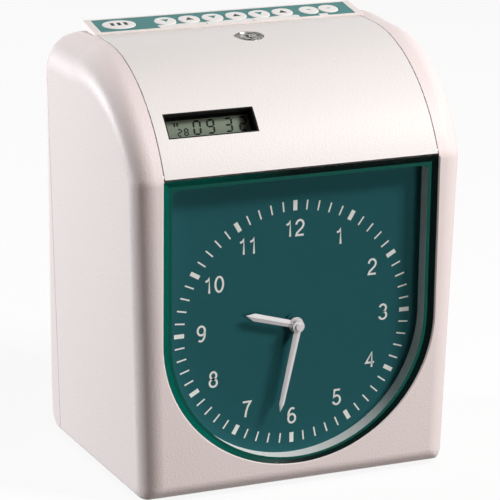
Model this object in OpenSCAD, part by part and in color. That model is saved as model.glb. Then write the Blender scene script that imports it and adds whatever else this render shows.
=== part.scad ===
// Electronic time clock: a moulded case with a curved hinged cover, an analogue dial behind a clear
// lens, a keypad deck, and a card printer inside. Millimetres; x to the right, y to the back, z up.
// The origin is on the table, under the middle of the case.

/* [Case] */
// Width of the case at its front, at the height of the dial's centre
case_w = 200; // [198:0.5:210]
// Depth of the case, front plane to back plane
case_d = 150; // [148:1:170]
// Height of the crown of the case above the table
crown_h = 256.5; // [254:0.5:270]
// Wall thickness of the case mouldings
wall = 3; // [2.4:0.1:3.6]
// How far each side leans out over 100 mm of height
side_draft = 2.8; // [1:0.1:3.1]
// How far each side spreads over 100 mm of depth
side_taper = 6; // [4:0.5:9]
// Corner radius at the bottom of the front, seen from the side
chin_r = 10; // [9:0.5:14]
// Corner radius at the bottom of the back, seen from the side
heel_r = 12; // [9:0.5:16]
// Corner radius at the top of the back, seen from the side
nape_r = 24; // [23.5:0.5:28]
// Rounding of the side edges along the front
edge_front_r = 12.5; // [10:0.5:13]
// Rounding of the side edges along the back
edge_back_r = 8; // [7:0.5:9]
// Rounding of the side edges along the top
edge_top_r = 22; // [16:0.5:23]
// How late the rounding grows along the cover's curve
edge_growth = 2.5; // [1:0.1:4]
// Rounding of the side edges along the base
edge_base_r = 3.5; // [2.5:0.5:6]
// Depth of the back cover
back_cover_d = 19; // [18:0.5:22]

/* [Feet and screws] */
// Radius of a rubber foot
foot_r = 8; // [6:0.5:10]
// How far a foot stands below the case
foot_h = 2; // [1.5:0.5:4]
// Depth of a foot's seat in the case floor
foot_seat = 1; // [0.5:0.1:1.2]
// Distance of a foot's centre from the side of the case
foot_inset_x = 23.5; // [20:0.5:30]
// Distance of a foot's centre from the front or the seam
foot_inset_y = 25; // [20:0.5:30]
// Radius of a case screw's shank
screw_r = 1.6; // [1.2:0.1:2]
// Radius of a case screw's head
screw_head_r = 3.2; // [2.8:0.1:3.8]
// Radius of a wall fixing hole in the back cover
wall_hole_r = 2.25; // [2:0.25:3]
// Distance between wall fixing holes, side to side
wall_hole_dx = 160; // [150:1:168]
// Distance between wall fixing holes, up and down
wall_hole_dz = 140; // [120:1:150]

/* [Front cover] */
// Radius of the cover's curve
cover_r = 105; // [103:0.5:112]
// Distance of the crown's start behind the front plane
crown_back = 95; // [93:0.5:97]
// Thickness of the cover
cover_t = 3; // [2.5:0.1:3.5]
// Width of the opening between the cheeks
opening_w = 172; // [168:0.5:176]
// Gap between the cover and a cheek
cover_gap = 0.7; // [0.4:0.05:0.8]
// Depth of the stiffening flanges of the cover
cover_flange_d = 7; // [5:0.5:9]
// Radius of the rolled lower edge of the cover
bead_r = 2.2; // [2:0.1:2.6]
// Radius of a hinge pin
hinge_pin_r = 1.25; // [1:0.05:1.4]
// Running clearance of pins and shafts, on the radius
run_gap = 0.05; // [0.03:0.01:0.08]
// Thickness of the cheeks' inner flanges
cheek_t = 2.5; // [2:0.1:3]

/* [Display] */
// Width of the display window
window_w = 55.4; // [50:0.2:58]
// Height of the display window, along the curve
window_h = 16.5; // [14:0.5:18]
// Distance of the window's middle from the middle of the case
window_x = 50.6; // [48:0.2:52]
// Angle of the window's middle before the crown
window_angle = 46.7; // [45:0.1:48]
// Depth of the display glass behind the cover's face
display_depth = 9; // [8:0.5:11]
// Thickness of the clear pane
pane_t = 1.2; // [1:0.1:1.6]

/* [Lock] */
// Radius of the lock's face
lock_face_r = 9.1; // [8.6:0.1:9.6]
// Radius of the lock's threaded body
lock_body_r = 7.7; // [7:0.1:8]
// Radius of the keyed plug
plug_r = 5.5; // [5:0.1:6]
// Depth of the lock's face below the cover
lock_sink = 0.4; // [0.4:0.1:2]
// Angle of the lock before the crown
lock_angle = 5; // [4:0.1:7]
// Angle of the keyway across the plug
keyway_angle = 103; // [90:1:130]
// Reach of the cam from the lock's centre
cam_reach = 23; // [20:0.5:25]

/* [Dial] */
// Height of the dial's centre above the base of the case
dial_rise = 97; // [95:0.5:100]
// Depth of the dial behind the front plane
dial_recess = 12.5; // [12:0.1:14]
// Thickness of the dial lens
lens_t = 2.5; // [2:0.1:2.8]
// Gap round the dial lens
lens_gap = 0.25; // [0.15:0.05:0.4]
// Width of the ledge behind the lens
ledge_w = 4.8; // [3:0.1:5.5]
// Thickness of the dial
dial_t = 1.2; // [0.8:0.1:1.6]
// Length of the hour hand
hour_len = 33; // [28:0.5:40]
// Length of the minute hand
minute_len = 53; // [45:0.5:60]
// Time that the hands show, in hours
shown_hour = 9.533; // [0:0.01:12]
// Side of the movement case
movement_w = 56; // [52:1:60]
// Depth of the movement case
movement_d = 16; // [14:0.5:18]
// Module of the dial gears
dial_module = 0.4; // [0.35:0.01:0.42]

/* [Keypad] */
// Depth of the keypad deck, along its slope
deck_d = 22.2; // [21.6:0.2:22.8]
// Slope of the keypad deck
deck_tilt = 8.6; // [7:0.2:10]
// How far the deck stands above the crown at its front edge
deck_step = 0.9; // [0.6:0.1:1.4]
// Thickness of the deck under the overlay
deck_t = 2.2; // [1.8:0.1:2.6]
// Height of the deck's rim round the overlay
rim_h = 0.6; // [0.4:0.1:0.8]
// Width of the deck's rim at the sides
rim_side = 4.6; // [4:0.1:5.4]
// Width of the deck's rim at the front and back
rim_w = 1; // [0.8:0.1:1.4]
// How far the deck overhangs each cheek
deck_lap = 1.3; // [0.8:0.1:1.8]
// Thickness of the overlay
overlay_t = 0.4; // [0.3:0.1:0.5]
// How far a key stands above the overlay
key_proud = 0.8; // [0.6:0.1:1.2]
// Travel of a key
key_travel = 0.8; // [0.5:0.1:1]
// Gap round a key
key_gap = 0.3; // [0.25:0.05:0.4]
// Depth of a key along the deck's slope
key_d = 12; // [11:0.2:12.6]
// Width of a key in the row of six
key_w = 13.4; // [12.6:0.1:13.8]
// Distance between keys in the row of six
key_pitch = 15.3; // [15:0.1:15.6]
// Width of the wide key
wide_key_w = 20.9; // [18:0.1:21.5]
// Width of each key of the right-hand pair
pair_key_w = 12.4; // [12.2:0.1:12.5]
// Distance between the keys of the right-hand pair
pair_pitch = 13.1; // [13:0.1:13.4]

/* [Card path and printer] */
// Width of the card slot
slot_w = 92; // [88:1:96]
// Thickness of the card slot
slot_t = 6.8; // [6.6:0.1:7]
// Thickness of the sheet-metal guides and chassis
sheet_t = 1.3; // [1:0.1:1.5]
// Distance between the chassis side plates
chassis_w = 133; // [130:1:136]
// Radius of a feed roller
feed_roller_r = 8; // [7:0.2:8.4]
// Radius of a pinch roller
pinch_r = 1.8; // [1.6:0.1:2]
// Distance of the feed rollers below the print line
feed_drop = 48; // [46:1:54]
// Module of the feed gears
feed_module = 0.6; // [0.5:0.01:0.62]
// Module of the carriage's rack and pinion
rack_module = 0.8; // [0.75:0.01:0.85]
// Radius of the carriage rods
rod_r = 3; // [2.5:0.1:3.4]
// Half the carriage's travel
carriage_travel = 28; // [20:1:28]

/* [Hidden] */

$fn = 64;
eps = 0.01;
cut = 1;
half_w = case_w / 2;
front_y = -case_d / 2;
back_y = case_d / 2;
seam_y = back_y - back_cover_d;
seam_hw = half_w + side_taper * (seam_y - front_y) / 100;
base_z = foot_h;
inner_back_y = back_y - wall;
floor_z = base_z + wall;

// Cover curve, its hinge and the lens below it
curve_c = [front_y + crown_back, crown_h - cover_r];
crease_z = curve_c[1] + sqrt(cover_r * cover_r - crown_back * crown_back);
hinge_y = front_y + bead_r + 0.6;
hinge_z = crease_z + bead_r + 0.1;
opening_hw = opening_w / 2;
cover_hw = opening_hw - cover_gap;
bead_gap = 0.6;
dial_z = base_z + dial_rise;
lens_top_z = hinge_z - bead_r - bead_gap;
lens_hw = opening_hw - lens_gap;
recess_hw = lens_hw - ledge_w;
recess_top_z = lens_top_z - ledge_w;
lens_back_y = front_y + lens_t;
dial_y = front_y + dial_recess;
dial_back_y = dial_y + dial_t;

// Keypad deck
deck_y = seam_y - 17.6;
cover_end_y = deck_y - 0.4;
deck_end_y = deck_y + deck_d * cos(deck_tilt);
deck_z = crown_h + deck_step;
deck_hw = opening_hw + deck_lap;
overlay_hw = deck_hw - rim_side;
key_mid = deck_d / 2;
board_t = 1.6;
key_foot = 1;
switch_h = 1.4;
key_bottom = -deck_t - 0.2 - key_foot;
switch_top = key_bottom - key_travel - 0.1;
board_top = switch_top - switch_h;
row_x = -38.6;
wide_x = -68.2;
pair_x = 55.6;
// Each key: x of its middle, width, depth
KEYS = concat([[wide_x, wide_key_w, key_d + 1.2]],
              [for (i = [0:5]) [row_x + i * key_pitch, key_w, key_d]],
              [for (i = [0, 1]) [pair_x + i * pair_pitch, pair_key_w, key_d]]);
post_x = [-overlay_hw + 1.4, -51.5, 47, 80];
post_r = 1.4;

// Display
display_back = -display_depth - 5;

// Lock, with depths from the cover's face
lock_flange_t = 1.4;
keyway_l = 6.8;
keyway_w = 1.6;
keyway_d = 5;
lock_seat = -lock_sink - lock_flange_t;
lock_boss_end = -cover_t - 3;
lock_boss_r = lock_face_r + 2.5;
keeper_low = lock_boss_end - 11;
keeper_t = 3;
cam_t = 2;
cam_top = keeper_low - 0.5;
cam_bottom = cam_top - cam_t;
barrel_bottom = keeper_low;
nut_t = 4;
tail_r = 4;

// Card path
card_y = deck_end_y + 5.5;
slot_front_y = card_y - slot_t / 2;
slot_back_y = card_y + slot_t / 2;
throat_t = 4;
throat_top = crown_h - 18.2;
throat_bottom = throat_top - throat_t;
plate_in_x = chassis_w / 2;
plate_out_x = plate_in_x + sheet_t;
floor_plate_z = floor_z + 4;
floor_top_z = floor_plate_z + sheet_t;
print_z = crown_h - 86.5;
feed_z = print_z - feed_drop;
guide_bottom = feed_z - 26;
card_t = 0.5;
feed_y = card_y - card_t / 2 - feed_roller_r;
pinch_y = card_y + card_t / 2 + pinch_r;
feed_shaft_r = 2.5;
pinch_shaft_r = 1;
feed_teeth = 40;
feed_pinion_teeth = 16;
feed_centre = feed_module * (feed_teeth + feed_pinion_teeth) / 2;
feed_gear_x = plate_out_x + 2;
feed_gear_w = 3;
roller_x = 25;
roller_w = 14;

// Printer
rod_y = slot_front_y - 19.5;
rod_dz = 22;
rod_low_z = print_z - 16;
carriage_hw = 15;
cassette_hw = plate_in_x - 3.5;
cassette_arm = 11;
carriage_d = 11.5;
carriage_y = rod_y - carriage_d / 2;
carriage_bottom = rod_low_z - 6;
carriage_top = rod_low_z + rod_dz + 6;
rack_teeth = 14;
rack_pitch = PI * rack_module;
rack_w = 4;
rack_z = carriage_bottom - 4;
carriage_pinion_teeth = 16;
pinion_pitch_r = rack_module * carriage_pinion_teeth / 2;
pinion_z = rack_z - pinion_pitch_r;
cross_y = carriage_y - 4.5;
motor_r = 12;
motor_shaft_r = 1.5;

// Gear teeth: pressure angle, and the slack of a flank as a share of the module
pressure = 25;
flank_slack = 0.05;

// Dial works
dial_wheel_teeth = 48;
dial_pinion_teeth = 12;
hour_teeth = 45;
hour_pinion_teeth = 15;
dial_centre = dial_module * (dial_wheel_teeth + dial_pinion_teeth) / 2;
frame_t = 2;
frame_back_y = dial_back_y + frame_t;
movement_back_y = dial_back_y + movement_d;
movement_t = 1.5;
bush_r = 4;
pipe_r = 2.5;
arbor_r = 1.5;
nut_end_y = dial_y - 1.6;
bush_end_y = dial_y - 2.2;
hour_hand_y = dial_y - 3.5;
minute_hand_y = dial_y - 7.2;
hand_t = 0.7;
hour_wheel_y = dial_back_y + movement_t + 0.6;
minute_wheel_y = hour_wheel_y + 2.1;
wheel_t = 1.2;

// Fixings between the case mouldings
boss_r = 4.6;
head_seat_y = inner_back_y - 1;
boss_x = seam_hw - 14.5;
BOSS_Z = [base_z + 22, crown_h - 40];
frame_post_x = half_w - 8;
frame_post_r = 3;
FRAME_POST_Z = [dial_z - 40, dial_z + 55];
chassis_post_x = 58;
CHASSIS_POST_Y = [front_y + 43, seam_y - 12];
post_bore_r = 1.5;
wall_hole_z = base_z + 50;

// Helpers

module block(lo, hi) { translate(lo) cube(hi - lo); }
module along_x(x0, x1) { translate([x0, 0, 0]) rotate([90, 0, 90]) linear_extrude(x1 - x0) children(); }
module along_y(y0, y1) { translate([0, y1, 0]) rotate([90, 0, 0]) linear_extrude(y1 - y0) children(); }
module rod_x(x0, x1, y, z, r) { translate([x0, y, z]) rotate([0, 90, 0]) cylinder(r = r, h = x1 - x0); }
module rod_y(y0, y1, x, z, r) { translate([x, y0, z]) rotate([-90, 0, 0]) cylinder(r = r, h = y1 - y0); }
module rod_z(z0, z1, x, y, r) { translate([x, y, z0]) cylinder(r = r, h = z1 - z0); }
module both_sides() { children(); mirror([1, 0, 0]) children(); }
// Places its children on the cover's curve, with z out of the cover and y up along it
module on_curve(angle) { translate([0, curve_c[0], curve_c[1]]) rotate([angle, 0, 0])
    translate([0, 0, cover_r]) children(); }
// The y and z of a point on the cover's curve, moved up by y along it and by z out of it
function curve_point(angle, y, z) = curve_c + [y * cos(angle) - (cover_r + z) * sin(angle),
                                               y * sin(angle) + (cover_r + z) * cos(angle)];
// Places its children on the keypad deck, with z out of the deck and y up its slope
module on_deck() { translate([0, deck_y, deck_z]) rotate([deck_tilt, 0, 0]) children(); }
// U-shaped outline concentric with the dial
module u_outline(hw, top) intersection() {
    union() {
        translate([0, dial_z]) circle(r = hw, $fn = 128);
        translate([-hw, dial_z]) square([2 * hw, crown_h]);
    }
    translate([-hw, dial_z - hw]) square([2 * hw, top - dial_z + hw]);
}
// Racetrack outline
module racetrack(w, d) polygon([for (s = [0, 1]) for (i = [0:16]) let (a = 180 * s - 90 + 180 * i / 16)
    [(1 - 2 * s) * (w - d) / 2 + d / 2 * cos(a), d / 2 * sin(a)]]);

// Case surface: outlines seen from the side, inset and rounded towards the sides

ARC_STEPS = 5;
CURVE_STEPS = 12;
EDGE_STEPS = 4;
function mix(a, b, k) = a + (b - a) * k;
function arc_point(c, r, a) = [c[0] + r * cos(a), c[1] + r * sin(a)];
function curve_start(t) = 180 - acos((crown_back - t) / (cover_r - t));
// Side outline, with the inset of each point worked out from its share of rounding k and the wall w
function outline(k, w) =
    let (eb = edge_base_r, ef = edge_front_r, et = edge_top_r, ek = edge_back_r)
    let (inset = function(e) w + max(e - w, 1) * k)
    let (tb = inset(eb), tf = inset(ef), tt = inset(et), tk = inset(ek), s = curve_start(tf))
    concat(
        [for (i = [0:ARC_STEPS]) arc_point([front_y + chin_r + tf - tb, base_z + chin_r], chin_r - tb,
            270 - 90 * i / ARC_STEPS)],
        [[front_y + tf, base_z + 2.5 * chin_r], arc_point(curve_c, cover_r - tf, s)],
        [for (i = [1:CURVE_STEPS]) let (f = i / CURVE_STEPS)
            arc_point(curve_c, cover_r - mix(tf, tt, pow(f, edge_growth)), mix(s, 90, f))],
        [for (i = [0:ARC_STEPS]) arc_point([back_y - nape_r, crown_h - nape_r], nape_r - tt,
            90 - 90 * i / ARC_STEPS)],
        [[back_y - tk, base_z + 2.5 * heel_r]],
        [for (i = [0:ARC_STEPS]) arc_point([back_y - heel_r - tk + tb, base_z + heel_r], heel_r - tb,
            -90 * i / ARC_STEPS)]);
// Rounding radius of each outline point
function outline_edges() = concat(
    [for (i = [0:ARC_STEPS]) mix(edge_base_r, edge_front_r, i / ARC_STEPS)], [edge_front_r, edge_front_r],
    [for (i = [1:CURVE_STEPS]) mix(edge_front_r, edge_top_r, pow(i / CURVE_STEPS, edge_growth))],
    [for (i = [0:ARC_STEPS]) edge_top_r], [edge_back_r],
    [for (i = [0:ARC_STEPS]) mix(edge_back_r, edge_base_r, i / ARC_STEPS)]);
// One ring of surface points, at edge angle a on side s
function ring(a, s, w) =
    let (pts = outline(1 - cos(a), w), edges = outline_edges())
    [for (i = [0:len(pts) - 1])
        let (p = pts[i], e = max(edges[i] - w, 1))
        let (spread = side_draft * (p[1] - dial_z) / 100 + side_taper * (p[0] - front_y) / 100)
        [s * (half_w - w + spread - e * (1 - sin(a))), p[0], p[1]]];
// Solid of the case's outer surface, or of its hollow for a wall w
module case_form(w) {
    rings = concat([for (i = [0:EDGE_STEPS]) ring(90 - 90 * i / EDGE_STEPS, -1, w)],
                   [for (i = [0:EDGE_STEPS]) ring(90 * i / EDGE_STEPS, 1, w)]);
    n = len(rings[0]);
    m = len(rings);
    points = [for (r = rings) for (p = r) p];
    sides = [for (k = [0:m - 2]) for (i = [0:n - 1]) let (j = (i + 1) % n)
        each [[k * n + i, k * n + j, (k + 1) * n + j], [k * n + i, (k + 1) * n + j, (k + 1) * n + i]]];
    first = [for (i = [0:n - 1]) n - 1 - i];
    last = [for (i = [0:n - 1]) (m - 1) * n + i];
    polyhedron(points, concat([first], sides, [last]), convexity = 6);
}

// Side outline of the cover's curve, from its hinge bead to its back end, d thick at an inset t
module curve_band(t, d, end_y) {
    intersection() {
        difference() {
            translate(curve_c) circle(r = cover_r - t, $fn = 256);
            translate(curve_c) circle(r = cover_r - t - d, $fn = 256);
        }
        translate([front_y, hinge_z]) square([crown_back, crown_h - hinge_z]);
    }
    translate([curve_c[0] - eps, crown_h - t - d]) square([end_y - curve_c[0] + eps, d]);
}

// Case mouldings

module case_boss(y0, y1) {
    for (z = BOSS_Z) both_sides() {
        rod_y(y0, y1, boss_x, z, boss_r);
        block([boss_x, y0, z - wall / 2], [seam_hw + 2 * boss_r, y1, z + wall / 2]);
    }
}
module case_boss_bores(y0, y1, r) { for (z = BOSS_Z, s = [-1, 1]) rod_y(y0, y1, s * boss_x, z, r); }

module main_case() color([0.92, 0.88, 0.86]) difference() {
    union() {
        difference() {
            case_form(0);
            case_form(wall);
            block([-case_w, seam_y, -cut], [case_w, case_d, 2 * crown_h]);
            // Opening for the lens, the cover and the deck
            along_y(front_y - cut, seam_y + cut) u_outline(opening_hw, dial_z + crown_h);
        }
        // Recess wall and ledge behind the lens
        along_y(lens_back_y, dial_y) difference() {
            union() {
                u_outline(opening_hw + cheek_t, lens_top_z - wall);
                u_outline(lens_hw, lens_top_z);
            }
            u_outline(recess_hw, recess_top_z);
        }
        // Inner flanges of the cheeks, with the hinge bosses
        both_sides() along_x(opening_hw, opening_hw + cheek_t) {
            intersection() {
                curve_band(wall / 2, cover_flange_d + wall, seam_y);
                translate([front_y, hinge_z - 8]) square([case_d, crown_h]);
            }
            translate([front_y + wall / 2, lens_top_z - 12]) square([dial_recess - wall / 2, 16]);
            translate([hinge_y, hinge_z]) circle(r = bead_r + 0.4);
        }
        intersection() {
            case_boss(seam_y - 16, seam_y);
            case_form(wall / 2);
        }
        // Posts for the inner frame
        intersection() {
            for (z = FRAME_POST_Z, s = [-1, 1])
                rod_y(front_y + wall / 2, dial_back_y, s * frame_post_x, z, frame_post_r);
            case_form(wall / 2);
        }
        // Posts for the chassis
        for (y = CHASSIS_POST_Y, s = [-1, 1])
            rod_z(floor_z - wall / 2, floor_plate_z, s * chassis_post_x, y, 5);
    }
    case_boss_bores(seam_y - 14, seam_y + cut, screw_r + run_gap);
    for (z = FRAME_POST_Z, s = [-1, 1])
        rod_y(dial_y - 4, dial_back_y + cut, s * frame_post_x, z, post_bore_r);
    for (y = CHASSIS_POST_Y, s = [-1, 1])
        rod_z(floor_z + 1, floor_plate_z + cut, s * chassis_post_x, y, post_bore_r);
    // Hinge bores
    both_sides() rod_x(opening_hw - cut, opening_hw + cheek_t + cut, hinge_y, hinge_z,
        hinge_pin_r + run_gap);
    foot_places() translate([0, 0, -cut]) cylinder(r = foot_r + 0.1, h = cut + foot_seat);
}

module back_cover() color([0.9, 0.86, 0.85]) difference() {
    union() {
        difference() {
            case_form(0);
            case_form(wall);
            block([-case_w, -case_d, -cut], [case_w, seam_y, 2 * crown_h]);
            // Notch under the keypad deck
            block([-opening_hw, -cut, crown_h - 12],
                  [opening_hw, deck_end_y + 0.4, 2 * crown_h]);
        }
        intersection() {
            case_boss(seam_y, inner_back_y + wall / 2);
            case_form(wall / 2);
        }
    }
    case_boss_bores(seam_y - cut, back_y + cut, screw_r + 0.3);
    case_boss_bores(head_seat_y, back_y + cut, screw_head_r + 0.2);
    // Card slot
    block([-slot_w / 2 - cut, slot_front_y - 0.4, throat_top - cut],
          [slot_w / 2 + cut, slot_back_y + 0.4, 2 * crown_h]);
    for (x = [-1, 1] * wall_hole_dx / 2, z = [wall_hole_z, wall_hole_z + wall_hole_dz])
        rod_y(inner_back_y - cut, back_y + cut, x, z, wall_hole_r);
    block(inlet_lo - [0.2, 0, 0.2] - [0, cut, 0], inlet_hi + [0.2, cut, 0.2]);
}

module foot_places() {
    for (x = [-1, 1] * (half_w - foot_inset_x), y = [front_y + foot_inset_y, seam_y - foot_inset_y / 2])
        translate([x, y, base_z]) children();
}
module rubber_feet() color([0.12, 0.12, 0.12]) foot_places()
    translate([0, 0, -foot_h]) cylinder(r = foot_r, h = foot_h + foot_seat);

module case_screws() color([0.6, 0.6, 0.62]) for (z = BOSS_Z, s = [-1, 1]) difference() {
    union() {
        rod_y(seam_y - 12, head_seat_y, s * boss_x, z, screw_r);
        rod_y(head_seat_y, back_y - 0.8, s * boss_x, z, screw_head_r);
    }
    for (a = [0, 90]) translate([s * boss_x, back_y - 0.8, z]) rotate([0, a, 0])
        cube([0.8, 2, 3.6], center = true);
}

// Dial and lens

module dial_lens() color([0.55, 0.75, 0.7, 0.35]) along_y(front_y, lens_back_y)
    u_outline(lens_hw - lens_gap, lens_top_z);

module dial_plate() color([0.1, 0.33, 0.33]) along_y(dial_y, dial_back_y) difference() {
    u_outline(lens_hw, lens_top_z);
    translate([0, dial_z]) circle(r = bush_r + 0.1);
}

module inner_frame() color([0.25, 0.25, 0.27]) difference() {
    union() {
        block([-half_w + 5, dial_back_y, dial_z - 74], [half_w - 5, frame_back_y, lens_top_z]);
        // Shelf and slope under the display
        along_x(-window_x - 32, -window_x + 32)
            polygon([[dial_back_y, lens_top_z - 4], [dial_back_y, lens_top_z + 8],
                     curve_point(window_angle, -13.5, display_back), curve_point(window_angle, 10,
                         display_back),
                     curve_point(window_angle, 10, display_back - frame_t),
                     curve_point(window_angle, -13.5, display_back - frame_t),
                     [frame_back_y, lens_top_z + 5.5], [frame_back_y, lens_top_z - 4]]);
    }
    block([-movement_w / 2 - 0.5, dial_y, dial_z - movement_w / 2 - 0.5],
          [movement_w / 2 + 0.5, frame_back_y + cut, dial_z + movement_w / 2 + 0.5]);
    for (z = FRAME_POST_Z, s = [-1, 1])
        rod_y(dial_y, frame_back_y + cut, s * frame_post_x, z, post_bore_r);
}

module display_frame() color([0.06, 0.06, 0.07]) on_curve(window_angle) difference() {
    block([-window_x - 31, -11, display_back], [-window_x + 31, 11, -display_depth + 0.8]);
    block([-window_x - 27, -8, -display_depth - 2], [-window_x + 27, 8, -display_depth + 2]);
}
module display_glass() color([0.55, 0.6, 0.53]) on_curve(window_angle)
    block([-window_x - 26.9, -7.9, -display_depth - 2], [-window_x + 26.9, 7.9, -display_depth]);

// Movement and hands

// Involute of a base circle, in degrees of polar angle at radius r
function involute(rb, r) = let (a = acos(min(1, rb / r))) tan(a) * 180 / PI - a;
module gear_outline(m, teeth) {
    rp = m * teeth / 2;
    rb = rp * cos(pressure);
    ra = rp + 0.9 * m;
    rf = rp - 1.2 * m;
    low = max(rb, rf);
    half = 90 / teeth + involute(rb, rp) - flank_slack * m / rp * 180 / PI;
    flank = [for (i = [0:3]) let (r = mix(low, ra, i / 3)) [r, half - involute(rb, r)]];
    polar = concat([[rf, -flank[0][1]]], [for (p = flank) [p[0], -p[1]]],
                   [for (i = [3:-1:0]) flank[i]], [[rf, flank[0][1]]]);
    polygon([for (t = [0:teeth - 1]) for (p = polar) let (a = p[1] + 360 * t / teeth)
        p[0] * [cos(a), sin(a)]]);
}
// Places a flat outline on the dial's axis, between two depths, turned by a
module on_dial(y0, y1, a = 0, drop = 0) {
    along_y(y0, y1) translate([0, dial_z - drop]) rotate(a) children(); }

module movement_case() color([0.2, 0.2, 0.22]) difference() {
    union() {
        difference() {
            block([-movement_w / 2, dial_back_y, dial_z - movement_w / 2],
                  [movement_w / 2, movement_back_y, dial_z + movement_w / 2]);
            block([-movement_w / 2 + movement_t, dial_back_y + movement_t,
                dial_z - movement_w / 2 + movement_t],
                  [movement_w / 2 - movement_t, movement_back_y - movement_t,
                      dial_z + movement_w / 2 - movement_t]);
        }
        on_dial(bush_end_y, dial_back_y + cut) circle(r = bush_r);
        // Rear bearing and the stud of the minute wheel
        on_dial(movement_back_y - 6, movement_back_y - cut) circle(r = 3.5);
        on_dial(dial_back_y + cut, movement_back_y - cut, 0, dial_centre) circle(r = 0.8);
    }
    on_dial(bush_end_y - cut, dial_back_y + movement_t + cut) circle(r = pipe_r + run_gap);
    on_dial(movement_back_y - 6 - cut, movement_back_y - movement_t) circle(r = arbor_r + run_gap);
}
module movement_nut() color([0.75, 0.6, 0.3]) on_dial(nut_end_y, dial_y) difference() {
    circle(r = 6.2);
    circle(r = bush_r + run_gap);
}
module hour_wheel() color([0.8, 0.66, 0.35]) difference() {
    union() {
        on_dial(hour_wheel_y, hour_wheel_y + wheel_t, 90) gear_outline(dial_module, hour_teeth);
        on_dial(hour_hand_y - hand_t - 0.3, hour_wheel_y + wheel_t) circle(r = pipe_r);
    }
    on_dial(hour_hand_y - 2, hour_wheel_y + wheel_t + cut) circle(r = arbor_r + run_gap);
}
module minute_arbor() color([0.78, 0.78, 0.8]) {
    on_dial(minute_hand_y - hand_t - 0.4, movement_back_y - movement_t - 0.5) circle(r = arbor_r);
    on_dial(minute_wheel_y - 0.3, minute_wheel_y + wheel_t + 0.3, 90)
        gear_outline(dial_module, dial_pinion_teeth);
}
module minute_wheel() color([0.8, 0.66, 0.35]) difference() {
    union() {
        on_dial(minute_wheel_y, minute_wheel_y + wheel_t, 90 + 180 / dial_wheel_teeth, dial_centre)
            gear_outline(dial_module, dial_wheel_teeth);
        on_dial(hour_wheel_y - 0.3, minute_wheel_y, 90, dial_centre)
            gear_outline(dial_module, hour_pinion_teeth);
    }
    on_dial(hour_wheel_y - cut, minute_wheel_y + wheel_t + cut, 0, dial_centre) circle(r = 0.8 + run_gap);
}
// Hand: a pointed blade with a round boss, drawn pointing up and turned to the shown time
module hand_outline(len, w0, w1, point, boss, hole) difference() {
    union() {
        circle(r = boss);
        polygon([[-w0 / 2, 0], [w0 / 2, 0], [w1 / 2, len - point], [0, len], [-w1 / 2, len - point]]);
    }
    circle(r = hole);
}
module hour_hand() color([0.95, 0.95, 0.94])
    on_dial(hour_hand_y - hand_t, hour_hand_y, -30 * shown_hour)
        hand_outline(hour_len, 4.2, 4.7, 5.5, 4.6, pipe_r);
module minute_hand() color([0.95, 0.95, 0.94])
    on_dial(minute_hand_y - hand_t, minute_hand_y, -360 * shown_hour)
        hand_outline(minute_len, 4.4, 3.2, 5, 3.7, arbor_r);
module hand_nut() color([0.9, 0.9, 0.9]) {
    on_dial(minute_hand_y - hand_t - 1.6, minute_hand_y - hand_t - 0.4) circle(r = 2);
    on_dial(minute_hand_y - hand_t - 0.4, minute_hand_y - hand_t) difference() {
        circle(r = 2);
        circle(r = arbor_r);
    }
}

// Front cover, its hinge, window and lock

module front_cover() color([0.94, 0.9, 0.88]) difference() {
    union() {
        along_x(-cover_hw, cover_hw) {
            curve_band(0, cover_t, cover_end_y);
            translate([hinge_y, hinge_z]) circle(r = bead_r);
        }
        // Boss under the lock
        on_curve(lock_angle) translate([0, 0, lock_boss_end]) cylinder(r = lock_boss_r, h = 4.5);
        both_sides() along_x(cover_hw - 2, cover_hw) intersection() {
            curve_band(cover_t - eps, cover_flange_d - cover_t, cover_end_y);
            translate([hinge_y, hinge_z + 6]) square([case_d, crown_h]);
        }
    }
    on_curve(window_angle) block([-window_x - window_w / 2, -window_h / 2, -10],
        [-window_x + window_w / 2, window_h / 2, 5]);
    on_curve(lock_angle) {
        translate([0, 0, lock_seat]) cylinder(r = lock_face_r + 0.15, h = 8);
        translate([0, 0, lock_boss_end - cut]) cylinder(r = lock_body_r + 0.1, h = 12);
    }
    both_sides() rod_x(cover_hw - 8, cover_hw + cut, hinge_y, hinge_z, hinge_pin_r);
}
module hinge_pins() color([0.7, 0.7, 0.72]) both_sides()
    rod_x(cover_hw - 8, opening_hw + cheek_t - 0.2, hinge_y, hinge_z, hinge_pin_r);
module display_window() color([0.7, 0.75, 0.75, 0.3]) on_curve(window_angle) {
    sag = cover_r - cover_t - sqrt(pow(cover_r - cover_t, 2) - pow(window_h / 2 + 2, 2));
    block([-window_x - window_w / 2 - 2, -window_h / 2 - 2, -cover_t - sag - pane_t],
          [-window_x + window_w / 2 + 2, window_h / 2 + 2, -cover_t - sag]);
}
module lock_barrel() color([0.8, 0.8, 0.82]) on_curve(lock_angle) difference() {
    union() {
        translate([0, 0, lock_seat]) cylinder(r = lock_face_r, h = lock_flange_t);
        translate([0, 0, barrel_bottom]) cylinder(r = lock_body_r, h = lock_seat - barrel_bottom + eps);
    }
    translate([0, 0, barrel_bottom - cut]) cylinder(r = plug_r + run_gap, h = -barrel_bottom + 2 * cut);
}
module lock_nut() color([0.7, 0.7, 0.72]) on_curve(lock_angle)
    translate([0, 0, lock_boss_end - nut_t]) difference() {
    cylinder(r = lock_body_r + 3.6, h = nut_t, $fn = 6);
    translate([0, 0, -cut]) cylinder(r = lock_body_r + 0.1, h = nut_t + 2 * cut, $fn = 64);
}
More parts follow.
